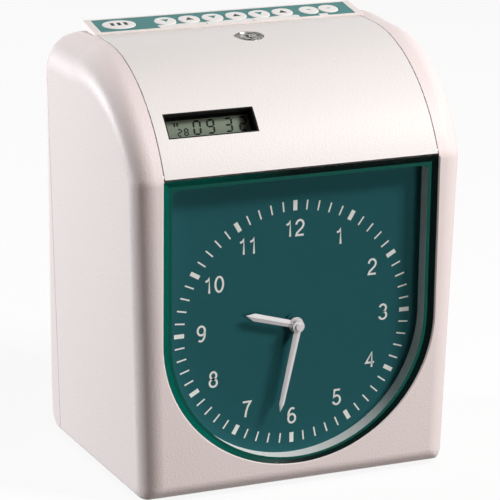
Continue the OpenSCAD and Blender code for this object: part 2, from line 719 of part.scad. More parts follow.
module lock_plug() color([0.75, 0.75, 0.77]) on_curve(lock_angle) difference() {
    union() {
        translate([0, 0, barrel_bottom + 0.2])
            cylinder(r = plug_r, h = -lock_sink - 0.3 - barrel_bottom - 0.2);
        translate([0, 0, cam_bottom]) cylinder(r = tail_r, h = barrel_bottom + 1 - cam_bottom);
    }
    // Keyway
    rotate(keyway_angle) block([-keyway_l / 2, -keyway_w / 2, -lock_sink - keyway_d],
        [keyway_l / 2, keyway_w / 2, cut]);
    translate([0, 0, cam_bottom - cut]) cylinder(r = 1.5, h = 6 + cut);
}
module lock_cam() color([0.65, 0.65, 0.68]) on_curve(lock_angle) translate([0, 0, cam_bottom])
    difference() {
    union() {
        cylinder(r = 7, h = cam_t);
        translate([0, -4.5, 0]) cube([cam_reach, 9, cam_t]);
    }
    translate([0, 0, -cut]) cylinder(r = tail_r, h = cam_t + 2 * cut);
}
module cam_screw() color([0.6, 0.6, 0.62]) on_curve(lock_angle) translate([0, 0, cam_bottom]) {
    translate([0, 0, -1.6]) cylinder(r = 5, h = 1.6);
    cylinder(r = 1.5, h = 5);
}

// Keypad

module key_cuts(gap, z0, z1) for (k = KEYS)
    translate([k[0], key_mid, z0]) linear_extrude(z1 - z0) racetrack(k[1] + 2 * gap, k[2] + 2 * gap);

module keypad_deck() color([0.95, 0.93, 0.91]) difference() {
    union() {
        on_deck() difference() {
            block([-cover_hw, 0, -deck_t], [cover_hw, deck_d, rim_h]);
            block([-overlay_hw - 0.1, rim_w, 0], [overlay_hw + 0.1, deck_d - rim_w, cut]);
        }
        // Side rims that lie on the cheeks
        both_sides() intersection() {
            on_deck() block([overlay_hw + 0.1, 0, -8], [deck_hw, deck_d, rim_h]);
            block([0, 0, crown_h], [case_w, case_d, 2 * crown_h]);
        }
        // Skirts between the cheeks, and the keeper of the lock
        block([-cover_hw, deck_y + 0.4, crown_h - 7], [cover_hw, deck_y + 2.4, crown_h]);
        block([-cover_hw, deck_end_y - 2, crown_h - 7], [cover_hw, deck_end_y, crown_h]);
        block([-20, deck_y + 0.4, crown_h - 16], [20, deck_y + 2.4, crown_h]);
        intersection() {
            on_curve(lock_angle) block([-12, lock_face_r + 5, keeper_low],
                [12, 60, keeper_low + keeper_t]);
            block([-20, -case_d, 0], [20, deck_y + 1.4, crown_h]);
        }
        on_deck() for (x = post_x) translate([x, key_mid, board_top])
            cylinder(r = post_r, h = -board_top - deck_t / 2);
    }
    on_deck() key_cuts(key_gap, -2 * deck_t, cut);
}
module keypad_overlay() color([0.24, 0.56, 0.55]) on_deck() difference() {
    block([-overlay_hw, rim_w + 0.1, 0], [overlay_hw, deck_d - rim_w - 0.1, overlay_t]);
    key_cuts(key_gap, -cut, cut);
}
module keypad_board() color([0.1, 0.35, 0.2]) on_deck() {
    difference() {
        block([-overlay_hw, 5, board_top - board_t], [overlay_hw, deck_d - 5, board_top]);
        for (x = [post_x[1], post_x[2]]) translate([x, key_mid - 4, board_top - 2 * board_t])
            cylinder(r = 1, h = 4);
    }
    for (k = KEYS) translate([k[0], key_mid, board_top - eps]) cylinder(r = 3, h = switch_h + eps);
}
module key(k) color([0.93, 0.93, 0.93]) on_deck() translate([k[0], key_mid, 0]) {
    translate([0, 0, -deck_t - 0.4]) linear_extrude(deck_t + 0.4 + overlay_t + key_proud)
        racetrack(k[1], k[2]);
    translate([-4, -k[2] / 2 - 0.9, key_bottom]) cube([8, k[2] + 1.8, key_foot]);
}

// Chassis and card path

module chassis() color([0.62, 0.63, 0.65]) difference() {
    union() {
        block([-plate_out_x, front_y + 35, floor_plate_z],
            [plate_out_x, slot_back_y + sheet_t, floor_top_z]);
        both_sides() block([plate_in_x, cross_y, floor_plate_z],
            [plate_out_x, slot_back_y + sheet_t, crown_h - 30]);
        block([-30, cross_y, floor_plate_z], [30, cross_y + sheet_t, carriage_bottom]);
        // Stand-offs of the main board
        for (y = [cross_y + 5, seam_y - 8], z = [base_z + 46, base_z + 176])
            rod_x(-plate_out_x - 6.4, -plate_in_x - eps, y, z, 2.5);
    }
    for (y = CHASSIS_POST_Y, s = [-1, 1])
        rod_z(floor_plate_z - cut, floor_top_z + cut, s * chassis_post_x, y, post_bore_r);
    for (z = [rod_low_z, rod_low_z + rod_dz]) rod_x(-case_w, case_w, rod_y, z, rod_r + run_gap);
    rod_x(-case_w, case_w, feed_y, feed_z, feed_shaft_r + run_gap);
    rod_x(-case_w, case_w, pinch_y, feed_z, pinch_shaft_r + run_gap);
    rod_x(0, case_w, feed_y - feed_centre, feed_z, 3);
    rod_y(cross_y - cut, cross_y + 3, 0, pinion_z, 4);
}
module card_throat() color([0.15, 0.15, 0.16]) difference() {
    block([-slot_w / 2 - 6, slot_front_y - sheet_t, throat_bottom],
        [slot_w / 2 + 6, slot_back_y + sheet_t, throat_top]);
    block([-slot_w / 2, slot_front_y, throat_bottom - cut], [slot_w / 2, slot_back_y, throat_top + cut]);
}
module card_guide_front() color([0.7, 0.71, 0.73]) difference() {
    block([-plate_in_x, slot_front_y - sheet_t, guide_bottom], [plate_in_x, slot_front_y, throat_bottom]);
    block([-54, slot_front_y - sheet_t - cut, print_z - 9], [54, slot_front_y + cut, print_z + 9]);
    for (s = [-1, 1]) roller_window(s, slot_front_y - sheet_t, feed_roller_r);
}
module card_guide_rear() color([0.66, 0.67, 0.7]) difference() {
    block([-plate_in_x, slot_back_y, guide_bottom], [plate_in_x, slot_back_y + sheet_t, throat_bottom]);
    block([-50.2, slot_back_y - cut, print_z - 7.2], [50.2, slot_back_y + sheet_t + cut, print_z + 7.2]);
    for (s = [-1, 1]) roller_window(s, slot_back_y, pinch_r + 1);
}
module roller_window(s, y, r) block([s * roller_x - roller_w / 2 - 1, y - cut, feed_z - r - 1],
                                    [s * roller_x + roller_w / 2 + 1, y + sheet_t + cut, feed_z + r + 1]);
module card_stop() color([0.3, 0.3, 0.32])
    block([-plate_in_x, slot_front_y, guide_bottom], [plate_in_x, slot_back_y, guide_bottom + 2]);

module feed_shaft() color([0.75, 0.76, 0.78]) {
    rod_x(-plate_out_x - 2, feed_gear_x + feed_gear_w, feed_y, feed_z, feed_shaft_r);
    translate([feed_gear_x, feed_y, feed_z]) rotate([90, 0, 90]) linear_extrude(feed_gear_w)
        gear_outline(feed_module, feed_teeth);
}
module feed_rollers() color([0.13, 0.13, 0.13]) for (s = [-1, 1]) difference() {
    rod_x(s * roller_x - roller_w / 2, s * roller_x + roller_w / 2, feed_y, feed_z, feed_roller_r);
    rod_x(-case_w, case_w, feed_y, feed_z, feed_shaft_r);
}
module pinch_rollers() color([0.8, 0.8, 0.78]) {
    rod_x(-plate_out_x - 1, plate_out_x + 1, pinch_y, feed_z, pinch_shaft_r);
    for (s = [-1, 1]) rod_x(s * roller_x - roller_w / 2, s * roller_x + roller_w / 2, pinch_y,
        feed_z, pinch_r);
}
module feed_motor() color([0.5, 0.5, 0.52]) difference() {
    rod_x(plate_in_x - 24, plate_in_x, feed_y - feed_centre, feed_z, 10);
    rod_x(plate_in_x - 12, plate_in_x + cut, feed_y - feed_centre, feed_z, motor_shaft_r + run_gap);
}
module feed_pinion() color([0.8, 0.66, 0.35]) translate([0, feed_y - feed_centre, feed_z]) {
    rod_x(plate_in_x - 11, feed_gear_x + feed_gear_w, 0, 0, motor_shaft_r);
    translate([feed_gear_x, 0, 0]) rotate([90, 0, 90]) linear_extrude(feed_gear_w)
        rotate(180 / feed_pinion_teeth) gear_outline(feed_module, feed_pinion_teeth);
}
module platen() color([0.18, 0.18, 0.18]) {
    block([-50, slot_back_y, print_z - 7], [50, slot_back_y + sheet_t + eps, print_z + 7]);
    block([-54, slot_back_y + sheet_t, print_z - 10], [54, slot_back_y + sheet_t + 1.2, print_z + 10]);
}

// Printer

module carriage_rods() color([0.8, 0.8, 0.82])
    for (z = [rod_low_z, rod_low_z + rod_dz]) rod_x(-plate_out_x - 1, plate_out_x + 1, rod_y, z, rod_r);
module print_carriage() color([0.28, 0.28, 0.3]) difference() {
    union() {
        block([-carriage_hw, carriage_y, carriage_bottom],
            [carriage_hw, carriage_y + carriage_d, carriage_top]);
        // Rack along the foot of the carriage
        along_y(carriage_y + 1, carriage_y + 1 + rack_w) {
            hw = rack_teeth * rack_pitch;
            mid = PI / 4 - flank_slack;
            root = mid + 1.25 * tan(pressure);
            tip = mid - 0.9 * tan(pressure);
            translate([-hw, rack_z + rack_module])
                square([2 * hw, carriage_bottom - rack_z - rack_module + cut]);
            for (i = [-rack_teeth:rack_teeth - 1]) translate([(i + 0.5) * rack_pitch, rack_z])
                polygon(rack_module * [[-root, 1.25], [root, 1.25], [tip, -0.9], [-tip, -0.9]]);
        }
    }
    for (z = [rod_low_z, rod_low_z + rod_dz]) rod_x(-case_w, case_w, rod_y, z, rod_r + run_gap);
}
module print_head() color([0.4, 0.4, 0.42]) {
    face = carriage_y + carriage_d;
    block([-10, face, print_z - 9], [10, face + 5.5, print_z + 9]);
    for (x = [-7.5:5:7.5]) block([x - 1, face + 5.5 - eps, print_z - 8],
        [x + 1, face + 7.5, print_z + 8]);
    block([-2.5, face + 5.5 - eps, print_z - 4], [2.5, slot_front_y - 2.6, print_z + 4]);
}
module ribbon_cassette() color([0.1, 0.1, 0.11]) {
    block([-cassette_hw, carriage_y + 2, carriage_top + 3],
          [cassette_hw, slot_front_y - sheet_t - 0.4, carriage_top + 17]);
    both_sides() difference() {
        block([cassette_hw - cassette_arm, slot_front_y - 9, print_z - 8],
              [cassette_hw, slot_front_y - sheet_t - 0.4, carriage_top + 3 + eps]);
        block([cassette_hw - cassette_arm - cut, slot_front_y - sheet_t - 0.9, print_z - 6],
              [cassette_hw + cut, slot_front_y - sheet_t - 0.6, print_z + 6]);
    }
    both_sides() block([cassette_hw - 0.1, carriage_y + 6, carriage_top + 6],
        [plate_in_x, slot_front_y - 4, carriage_top + 12]);
}
module ink_ribbon() color([0.05, 0.05, 0.2])
    block([1 - cassette_hw, slot_front_y - sheet_t - 0.85, print_z - 5.5],
          [cassette_hw - 1, slot_front_y - sheet_t - 0.65, print_z + 5.5]);
module carriage_motor() color([0.5, 0.5, 0.52]) difference() {
    rod_y(cross_y - 22, cross_y, 0, pinion_z, motor_r);
    rod_y(cross_y - 12, cross_y + cut, 0, pinion_z, motor_shaft_r + run_gap);
}
module carriage_pinion() color([0.8, 0.66, 0.35]) {
    rod_y(cross_y - 11, carriage_y + 1 + rack_w, 0, pinion_z, motor_shaft_r);
    along_y(carriage_y + 1.2, carriage_y + 0.8 + rack_w) translate([0, pinion_z]) rotate(90)
        gear_outline(rack_module, carriage_pinion_teeth);
}

// Power and control

module main_board() color([0.08, 0.32, 0.18]) {
    face = -plate_out_x - 6.4;
    block([face - board_t, cross_y, base_z + 38], [face, seam_y - 2, base_z + 184]);
    // Chips, capacitors and connectors on the outer face
    for (z = [60, 96, 132]) block([face - board_t - 3, cross_y + 14, base_z + z],
        [face - board_t + eps, cross_y + 24, base_z + z + 26]);
    for (z = [64, 80, 150, 166]) rod_x(face - board_t - 14, face - board_t + eps, cross_y + 6,
        base_z + z, 4);
    for (z = [48, 108]) block([face - board_t - 8, seam_y - 9, base_z + z],
        [face - board_t + eps, seam_y - 4, base_z + z + 30]);
}
module transformer() color([0.45, 0.38, 0.3]) {
    x0 = 14;
    y0 = front_y + 52;
    difference() {
        block([x0, y0, floor_top_z], [x0 + 42, y0 + 16, floor_top_z + 35]);
        for (dx = [7, 28]) block([x0 + dx, y0 - cut, floor_top_z + 7],
            [x0 + dx + 7, y0 + 16 + cut, floor_top_z + 28]);
    }
    difference() {
        block([x0 + 7.2, y0 - 7, floor_top_z + 7.2], [x0 + 34.8, y0 + 23, floor_top_z + 27.8]);
        block([x0 + 13.8, y0 - 0.2, floor_top_z + 7], [x0 + 28.2, y0 + 16.2, floor_top_z + 28]);
        for (dx = [-1, 34.8]) block([x0 + dx, y0 - 0.2, floor_top_z],
            [x0 + dx + 1, y0 + 16.2, floor_top_z + 30]);
    }
}
module back_up_cells() color([0.2, 0.35, 0.6]) {
    y0 = front_y + 52;
    for (i = [0:2]) rod_x(-54, -10, y0 + 14.2 * i, floor_top_z + 8.5, 7);
    block([-56, y0 - 8.5, floor_top_z], [-8, y0 + 36.9, floor_top_z + 5]);
}

inlet_x = 47;
inlet_lo = [inlet_x - 13, inner_back_y - 14, base_z + 22];
inlet_hi = [inlet_x + 13, back_y - 0.3, base_z + 40];
module power_inlet() color([0.1, 0.1, 0.1]) {
    difference() {
        block(inlet_lo, inlet_hi);
        block(inlet_lo + [2.5, 5, 2.5], inlet_hi - [2.5, -cut, 2.5]);
    }
    for (s = [-1, 1]) rod_y(inlet_lo[1] + 5 - eps, back_y - 4, inlet_x + 5 * s, base_z + 29, 1.6);
    block([inlet_lo[0] - 2, inner_back_y - 2, inlet_lo[2] - 2],
        [inlet_lo[0] + eps, inner_back_y, inlet_hi[2] + 2]);
    block([inlet_hi[0] - eps, inner_back_y - 2, inlet_lo[2] - 2],
        [inlet_hi[0] + 2, inner_back_y, inlet_hi[2] + 2]);
}

main_case();
back_cover();
rubber_feet();
case_screws();
dial_lens();
dial_plate();
inner_frame();
movement_case();
movement_nut();
hour_hand();
hour_wheel();
minute_hand();
minute_arbor();
hand_nut();
minute_wheel();
display_frame();
display_glass();
front_cover();
hinge_pins();
display_window();
lock_barrel();
lock_nut();
lock_plug();
lock_cam();
cam_screw();
keypad_deck();
keypad_overlay();
keypad_board();
key(KEYS[0]);  // key_wide
key(KEYS[1]);  // key_1
key(KEYS[2]);  // key_2
key(KEYS[3]);  // key_3
key(KEYS[4]);  // key_4
key(KEYS[5]);  // key_5
key(KEYS[6]);  // key_6
key(KEYS[7]);  // key_left
key(KEYS[8]);  // key_right
chassis();
card_throat();
card_guide_front();
card_guide_rear();
card_stop();
feed_shaft();
feed_rollers();
pinch_rollers();
feed_motor();
feed_pinion();
platen();
carriage_rods();
print_carriage();
print_head();
ribbon_cassette();
ink_ribbon();
carriage_motor();
carriage_pinion();
main_board();
transformer();
back_up_cells();
power_inlet();
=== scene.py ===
import math

import bmesh
import bpy
from mathutils import Matrix, Vector


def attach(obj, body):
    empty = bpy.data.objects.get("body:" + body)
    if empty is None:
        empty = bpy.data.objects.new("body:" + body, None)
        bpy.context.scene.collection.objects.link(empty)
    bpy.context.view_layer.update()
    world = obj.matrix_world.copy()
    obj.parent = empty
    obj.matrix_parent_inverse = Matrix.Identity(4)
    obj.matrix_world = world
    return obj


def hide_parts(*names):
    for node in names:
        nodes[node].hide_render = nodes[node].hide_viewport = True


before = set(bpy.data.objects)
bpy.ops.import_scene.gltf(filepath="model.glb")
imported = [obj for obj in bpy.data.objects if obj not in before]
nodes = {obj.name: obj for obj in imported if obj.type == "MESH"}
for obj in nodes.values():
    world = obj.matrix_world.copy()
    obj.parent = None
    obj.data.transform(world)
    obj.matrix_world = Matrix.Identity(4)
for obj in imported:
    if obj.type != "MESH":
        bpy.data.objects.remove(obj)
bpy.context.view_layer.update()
scene = bpy.context.scene
scene.view_settings.view_transform = "Standard"

# Camera: a long lens, a little above and to the left of the clock, as the photograph was taken.
# The aim point is left of the dial's middle, so that the clock fills the square frame.
swing, lift, roll = (math.radians(angle) for angle in (22.66, 17.28, 0.69))
aim = Vector((-0.0288, -0.064, 0.14732))
distance, focal_length, sensor_width = 1.55125, 193.03, 36
towards = Vector((-math.sin(swing) * math.cos(lift), -math.cos(swing) * math.cos(lift), math.sin(lift)))
level = Vector((math.cos(swing), -math.sin(swing), 0))
upright = towards.cross(level)
right_hand = math.cos(roll) * level + math.sin(roll) * upright
overhead = math.cos(roll) * upright - math.sin(roll) * level
optics = bpy.data.cameras.new("view")
optics.lens = focal_length
optics.sensor_width = sensor_width
optics.sensor_fit = "HORIZONTAL"
optics.clip_end = 20
view = bpy.data.objects.new("view", optics)
scene.collection.objects.link(view)
stand = aim + distance * towards
view.matrix_world = Matrix((
    (right_hand.x, overhead.x, towards.x, stand.x),
    (right_hand.y, overhead.y, towards.y, stand.y),
    (right_hand.z, overhead.z, towards.z, stand.z),
    (0, 0, 0, 1)))
scene.camera = view

# Studio: a white paper floor that runs out of sight, a key softbox high at the right, a weak one in front
# and a tall one behind at the left. The paper shows white to the camera and to glossy surfaces, and keeps
# the soft shadow of the clock.
lamp_aim = Vector((0, 0, 0.13))


def softbox(name, around, above, away, width, height, power, colour):
    lamp = bpy.data.lights.new(name, "AREA")
    lamp.shape = "RECTANGLE"
    lamp.size = width
    lamp.size_y = height
    lamp.energy = power
    lamp.color = colour
    box = bpy.data.objects.new(name, lamp)
    scene.collection.objects.link(box)
    around, above = math.radians(around), math.radians(above)
    outward = math.cos(above)
    heading = Vector((math.sin(around) * outward, -math.cos(around) * outward, math.sin(above)))
    box.location = lamp_aim + away * heading
    box.rotation_euler = heading.to_track_quat("Z", "Y").to_euler()


softbox("key_softbox", 50, 44, 2.2, 0.5, 0.5, 45.0, (1.0, 0.965, 0.955))
softbox("front_softbox", 20, 6, 2.2, 0.6, 0.6, 14.0, (1.0, 0.93, 0.9))
softbox("left_softbox", -128, 10, 2.0, 0.35, 0.6, 44.0, (0.97, 0.975, 1.0))


def calculated(tree, operation, first, second):
    step = tree.nodes.new("ShaderNodeMath")
    step.operation = operation
    for socket, value in zip(step.inputs, (first, second)):
        if isinstance(value, float):
            socket.default_value = value
        else:
            tree.links.new(value, socket)
    return step.outputs[0]


def mixed(tree, share, first, second):
    blend = tree.nodes.new("ShaderNodeMixShader")
    tree.links.new(share, blend.inputs["Fac"])
    tree.links.new(first, blend.inputs[1])
    tree.links.new(second, blend.inputs[2])
    return blend.outputs[0]


def two_tone(tree, share, first, second):
    tone = tree.nodes.new("ShaderNodeMix")
    tone.data_type = "RGBA"
    tone.inputs[6].default_value = (*first, 1)
    tone.inputs[7].default_value = (*second, 1)
    tree.links.new(share, tone.inputs[0])
    return tone.outputs[2]


def background(tree, colour, strength):
    glow = tree.nodes.new("ShaderNodeBackground")
    glow.inputs["Color"].default_value = (*colour, 1)
    glow.inputs["Strength"].default_value = strength
    return glow.outputs[0]


world = bpy.data.worlds.new("studio")
world.use_nodes = True
scene.world = world
tree = world.node_tree
tree.nodes.clear()
path = tree.nodes.new("ShaderNodeLightPath")
seen = calculated(tree, "MAXIMUM", path.outputs["Is Camera Ray"], path.outputs["Is Glossy Ray"])
seen = calculated(tree, "MAXIMUM", seen, path.outputs["Is Transmission Ray"])
warm_fill = background(tree, (1.0, 0.76, 0.64), 0.06)
white_paper = background(tree, (1, 1, 1), 1.0)
out = tree.nodes.new("ShaderNodeOutputWorld")
tree.links.new(mixed(tree, seen, warm_fill, white_paper), out.inputs["Surface"])

floor_half = 4
floor_corners = [(x * floor_half, y * floor_half, 0) for x, y in ((-1, -1), (1, -1), (1, 1), (-1, 1))]
floor_mesh = bpy.data.meshes.new("paper_floor")
floor_mesh.from_pydata(floor_corners, [], [(0, 1, 2, 3)])
floor = bpy.data.objects.new("paper_floor", floor_mesh)
scene.collection.objects.link(floor)
floor_paper = bpy.data.materials.new("floor_paper")
floor_paper.use_nodes = True
tree = floor_paper.node_tree
sheen = tree.nodes["Principled BSDF"]
sheen.inputs["Roughness"].default_value = 0.9
sheen.inputs["Specular IOR Level"].default_value = 0.0
glow = tree.nodes.new("ShaderNodeEmission")
path = tree.nodes.new("ShaderNodeLightPath")
seen = calculated(tree, "MAXIMUM", path.outputs["Is Camera Ray"], path.outputs["Is Glossy Ray"])
white_share = calculated(tree, "MULTIPLY", seen, 0.9)
paper_tone = two_tone(tree, path.outputs["Is Camera Ray"], (0.1, 0.088, 0.08), (0.9, 0.9, 0.9))
tree.links.new(paper_tone, sheen.inputs["Base Color"])
paper_surface = mixed(tree, white_share, sheen.outputs[0], glow.outputs[0])
tree.links.new(paper_surface, tree.nodes["Material Output"].inputs["Surface"])
floor_mesh.materials.append(floor_paper)

# Main case: one injection moulding in warm off-white plastic with a fine spark-eroded grain.
# Two cheeks rise beside the cover, the front is cut out for the lens, and the sides spread to the back.
# A white recess wall behind the lens and a flange inside each cheek are fixed in it.
mm = 0.001
half_width, crown, wall, base = 100.0, 256.5, 3.0, 2.0
side_draft, side_taper = 0.028, 0.06
chin, heel, nape = 10.0, 12.0, 24.0
base_edge, front_edge, back_edge, top_edge, edge_growth = 3.5, 12.5, 8.0, 22.0, 2.5
front, back, seam, seam_gap = -75.0, 75.0, 56.0, 0.2
curve_radius, curve_back, fold = 105.0, 95.0, 2.5
curve_y, curve_z = front + curve_back, crown - curve_radius
dial_height, opening, lens_top = 99.0, 86.0, 195.72
recess_half, rim_slope, rim_flattening = 80.95, 0.9, 0.45
past_side, past_floor, past_top = 200, -50, 400
past_lens, past_dial = -80, -50


def swept(centre, radius, angle):
    return centre[0] + radius * math.cos(angle), centre[1] + radius * math.sin(angle)


def side_outline(share, inner):
    def inset(edge):
        return inner + max(edge - inner, 1) * share

    low, flat, rear, top = inset(base_edge), inset(front_edge), inset(back_edge), inset(top_edge)
    start = math.pi - math.acos((curve_back - flat) / (curve_radius - flat))
    drop = start - math.pi / 2

    def along(step):
        late = step ** edge_growth
        spot = swept((curve_y, curve_z), curve_radius - flat - (top - flat) * late, start - drop * step)
        return *spot, front_edge + (top_edge - front_edge) * late

    line = [(*swept((front + chin + flat - low, base + chin), chin - low, math.radians(270 - 9 * i)),
             base_edge + (front_edge - base_edge) * i / 10) for i in range(11)]
    line.append((front + flat, base + 2.5 * chin, front_edge))
    first = fold / (curve_radius * drop)
    corner = along(0)
    before, after = (corner[0], corner[1] - fold), along(first)
    for i in range(9):
        t = i / 8
        line.append(tuple((1 - t) ** 2 * before[k] + 2 * t * (1 - t) * corner[k] + t * t * after[k]
                          for k in (0, 1)) + (front_edge,))
    line += [along(first + (1 - first) * i / 44) for i in range(1, 45)]
    line += [(*swept((back - nape, crown - nape), nape - top, math.radians(90 - 7.5 * i)), top_edge)
             for i in range(13)]
    line.append((back - rear, base + 2.5 * heel, back_edge))
    line += [(*swept((back - heel - rear + low, base + heel), heel - low, math.radians(-9 * i)),
              back_edge + (base_edge - back_edge) * i / 10) for i in range(11)]
    return line


def stacked(rings):
    count, last = len(rings[0]), len(rings) - 1
    faces = [tuple(range(count)), tuple(range(last * count, (last + 1) * count))[::-1]]
    for k in range(last):
        first, second = k * count, (k + 1) * count
        for i in range(count):
            j = (i + 1) % count
            faces.append((first + i, first + j, second + j, second + i))
    return [spot for ring in rings for spot in ring], faces


def case_form(inner, steps):
    turns = [(-1, 90 - 90 * i / steps) for i in range(steps + 1)]
    turns += [(1, 90 * i / steps) for i in range(steps + 1)]
    rings = []
    for hand, turn in turns:
        angle = math.radians(turn)
        ring = []
        for y, z, edge in side_outline(1 - math.cos(angle), inner):
            spread = side_draft * (z - dial_height) + side_taper * (y - front)
            cut = max(edge - inner, 1) * (1 - math.sin(angle))
            ring.append((hand * (half_width - inner + spread - cut), y, z))
        rings.append(ring)
    return stacked(rings)


def u_shape(half, top, steps=72):
    reach = half - rim_flattening * max(half - recess_half, 0)
    line = [(half * math.cos(math.pi * i / steps), dial_height - reach * math.sin(math.pi * i / steps))
            for i in range(steps + 1)]
    return [(half, top)] + line + [(-half, top)]


def u_ring(half, top, y):
    return [(x, y, z) for x, z in u_shape(half, top)]


def prism(line, low, high, place):
    return stacked([[place(u, v, w) for u, v in line] for w in (low, high)])


def round_bar(centre, radius, low, high, place, steps=40):
    return prism([swept(centre, radius, math.tau * i / steps) for i in range(steps)], low, high, place)


def facing_front(x, z, y):
    return x, y, z


def seen_from_side(y, z, x):
    return x, y, z


def seen_from_above(x, y, z):
    return x, y, z


def block(low, high):
    line = [(low[0], low[1]), (high[0], low[1]), (high[0], high[1]), (low[0], high[1])]
    return prism(line, low[2], high[2], seen_from_above)


def form(name, points, faces):
    mesh = bpy.data.meshes.new(name)
    mesh.from_pydata([Vector(p) * mm for p in points], [], faces)
    work = bmesh.new()
    work.from_mesh(mesh)
    bmesh.ops.recalc_face_normals(work, faces=work.faces)
    work.to_mesh(mesh)
    work.free()
    piece = bpy.data.objects.new(name, mesh)
    scene.collection.objects.link(piece)
    return piece


def carve(piece, shape, operation="DIFFERENCE"):
    tool = form("tool", *shape)
    change = piece.modifiers.new("carve", "BOOLEAN")
    change.operation = operation
    change.solver = "EXACT"
    change.object = tool
    bpy.context.view_layer.update()
    result = piece.evaluated_get(bpy.context.evaluated_depsgraph_get())
    mesh = bpy.data.meshes.new_from_object(result)
    piece.modifiers.clear()
    old = piece.data
    piece.data = mesh
    mesh.name = piece.name
    bpy.data.meshes.remove(old)
    bpy.data.objects.remove(tool)
    return piece


def dress(piece, finish, body, soften=0.0, stands_for=(), turn=32):
    piece.data.materials.clear()
    piece.data.materials.append(finish)
    piece.data.polygons.foreach_set("use_smooth", [True] * len(piece.data.polygons))
    piece.data.set_sharp_from_angle(angle=math.radians(turn))
    if soften:
        rounding = piece.modifiers.new("softened_edges", "BEVEL")
        rounding.width = soften * mm
        rounding.segments = 2
        rounding.limit_method = "ANGLE"
        rounding.angle_limit = math.radians(turn)
        even = piece.modifiers.new("even_shading", "WEIGHTED_NORMAL")
        even.keep_sharp = True
    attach(piece, body)
    if stands_for:
        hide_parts(*stands_for)
    return piece


def moulded(name, colour, other, roughness=0.34, grain=1100.0, relief=0.05, metal=0.0, blotch=9.0,
            shine=0.5):
    finish = bpy.data.materials.new(name)
    finish.use_nodes = True
    tree = finish.node_tree
    shader = tree.nodes["Principled BSDF"]
    shader.inputs["Metallic"].default_value = metal
    shader.inputs["Specular IOR Level"].default_value = shine
    where = tree.nodes.new("ShaderNodeTexCoord")
    cloud = tree.nodes.new("ShaderNodeTexNoise")
    cloud.inputs["Scale"].default_value = blotch
    cloud.inputs["Detail"].default_value = 3
    speck = tree.nodes.new("ShaderNodeTexNoise")
    speck.inputs["Scale"].default_value = grain
    speck.inputs["Detail"].default_value = 2
    gloss = tree.nodes.new("ShaderNodeMapRange")
    gloss.inputs["To Min"].default_value = roughness - 0.06
    gloss.inputs["To Max"].default_value = roughness + 0.06
    bump = tree.nodes.new("ShaderNodeBump")
    bump.inputs["Strength"].default_value = relief
    bump.inputs["Distance"].default_value = 0.0003
    for texture in (cloud, speck):
        tree.links.new(where.outputs["Object"], texture.inputs["Vector"])
    tone = two_tone(tree, cloud.outputs["Fac"], colour, other)
    tree.links.new(tone, shader.inputs["Base Color"])
    tree.links.new(speck.outputs["Fac"], gloss.inputs["Value"])
    tree.links.new(gloss.outputs["Result"], shader.inputs["Roughness"])
    tree.links.new(speck.outputs["Fac"], bump.inputs["Height"])
    tree.links.new(bump.outputs["Normal"], shader.inputs["Normal"])
    return finish


case_plastic = moulded("case_plastic", (0.82, 0.745, 0.738), (0.85, 0.775, 0.768), 0.45, 800, 0.5,
                       shine=0.3)
shell = form("case_shell", *case_form(0, 10))
carve(shell, block((-past_side, seam - seam_gap, past_floor), (past_side, past_side, past_top)))
carve(shell, prism(u_shape(opening, past_top), front - 5, seam + 5, facing_front))
carve(shell, stacked([u_ring(opening + 2 * rim_slope, lens_top, front - rim_slope),
                      u_ring(opening - rim_slope, lens_top, front + 2 * rim_slope)]))
carve(shell, case_form(wall, 4))

recess_front, recess_back = -72.5, -62.5
flange_half, recess_rim = opening + 2.5, 85.75
flange_top, recess_top = lens_top - 3, lens_top - 4.8
flange_line, rim_line = u_shape(flange_half, flange_top), u_shape(recess_rim, lens_top)
recess = form("dial_recess", *prism(flange_line, recess_front, recess_back, facing_front))
carve(recess, prism(rim_line, recess_front, recess_back, facing_front), "UNION")
carve(recess, prism(u_shape(recess_half, recess_top), past_lens, past_dial, facing_front))
recess_plastic = moulded("recess_plastic", (0.92, 0.9, 0.9), (0.94, 0.92, 0.92), 0.6, 620, 0.2, shine=0.1)
dress(recess, recess_plastic, "case", 0.2)

hinge_y, hinge_z, pin_bore = -72.2, 198.52, 1.28
cheek_flange_outer, cheek_flange_inner, cheek_flange_low = 2.9, 11.5, hinge_z - 6


def curve_spot(inset, angle):
    return swept((curve_y, curve_z), curve_radius - inset, angle)


def curve_band(outer, inner, low, end):
    lowest = [math.pi - math.asin((low - curve_z) / (curve_radius - t)) for t in (outer, inner)]
    line = [curve_spot(outer, lowest[0] + (math.pi / 2 - lowest[0]) * i / 40) for i in range(41)]
    line += [(end, crown - outer), (end, crown - inner)]
    line += [curve_spot(inner, math.pi / 2 + (lowest[1] - math.pi / 2) * i / 40) for i in range(41)]
    return line


flange_band = curve_band(cheek_flange_outer, cheek_flange_inner, cheek_flange_low, seam - seam_gap)
for hand, name in ((-1, "left"), (1, "right")):
    flange = form(name + "_cheek_flange", *prism(flange_band, hand * (opening + 0.02), hand * flange_half,
                                                 seen_from_side))
    pin_hole = round_bar((hinge_y, hinge_z), pin_bore, hand * (opening - 1), hand * (opening + 2.6),
                         seen_from_side)
    for piece in (flange, shell):
        carve(piece, pin_hole)
    dress(flange, case_plastic, "case", 0.2)
screw_x, screw_heights, screw_bore = 93.36, (24, 216.5), 1.9
boss_radius, boss_long = 4.6, 16


def add_screw_bosses(piece, low, high):
    for hand in (-1, 1):
        for z in screw_heights:
            ends = sorted((hand * screw_x, hand * (screw_x + 2 * boss_radius)))
            carve(piece, block((ends[0], low, z - wall / 2), (ends[1], high, z + wall / 2)), "UNION")
            carve(piece, round_bar((hand * screw_x, z), boss_radius, low, high, facing_front), "UNION")
            carve(piece, round_bar((hand * screw_x, z), screw_bore, low - 1, high + 1, facing_front))


add_screw_bosses(shell, seam - boss_long, seam - seam_gap)
dress(shell, case_plastic, "case", 0.3, ["main_case"])

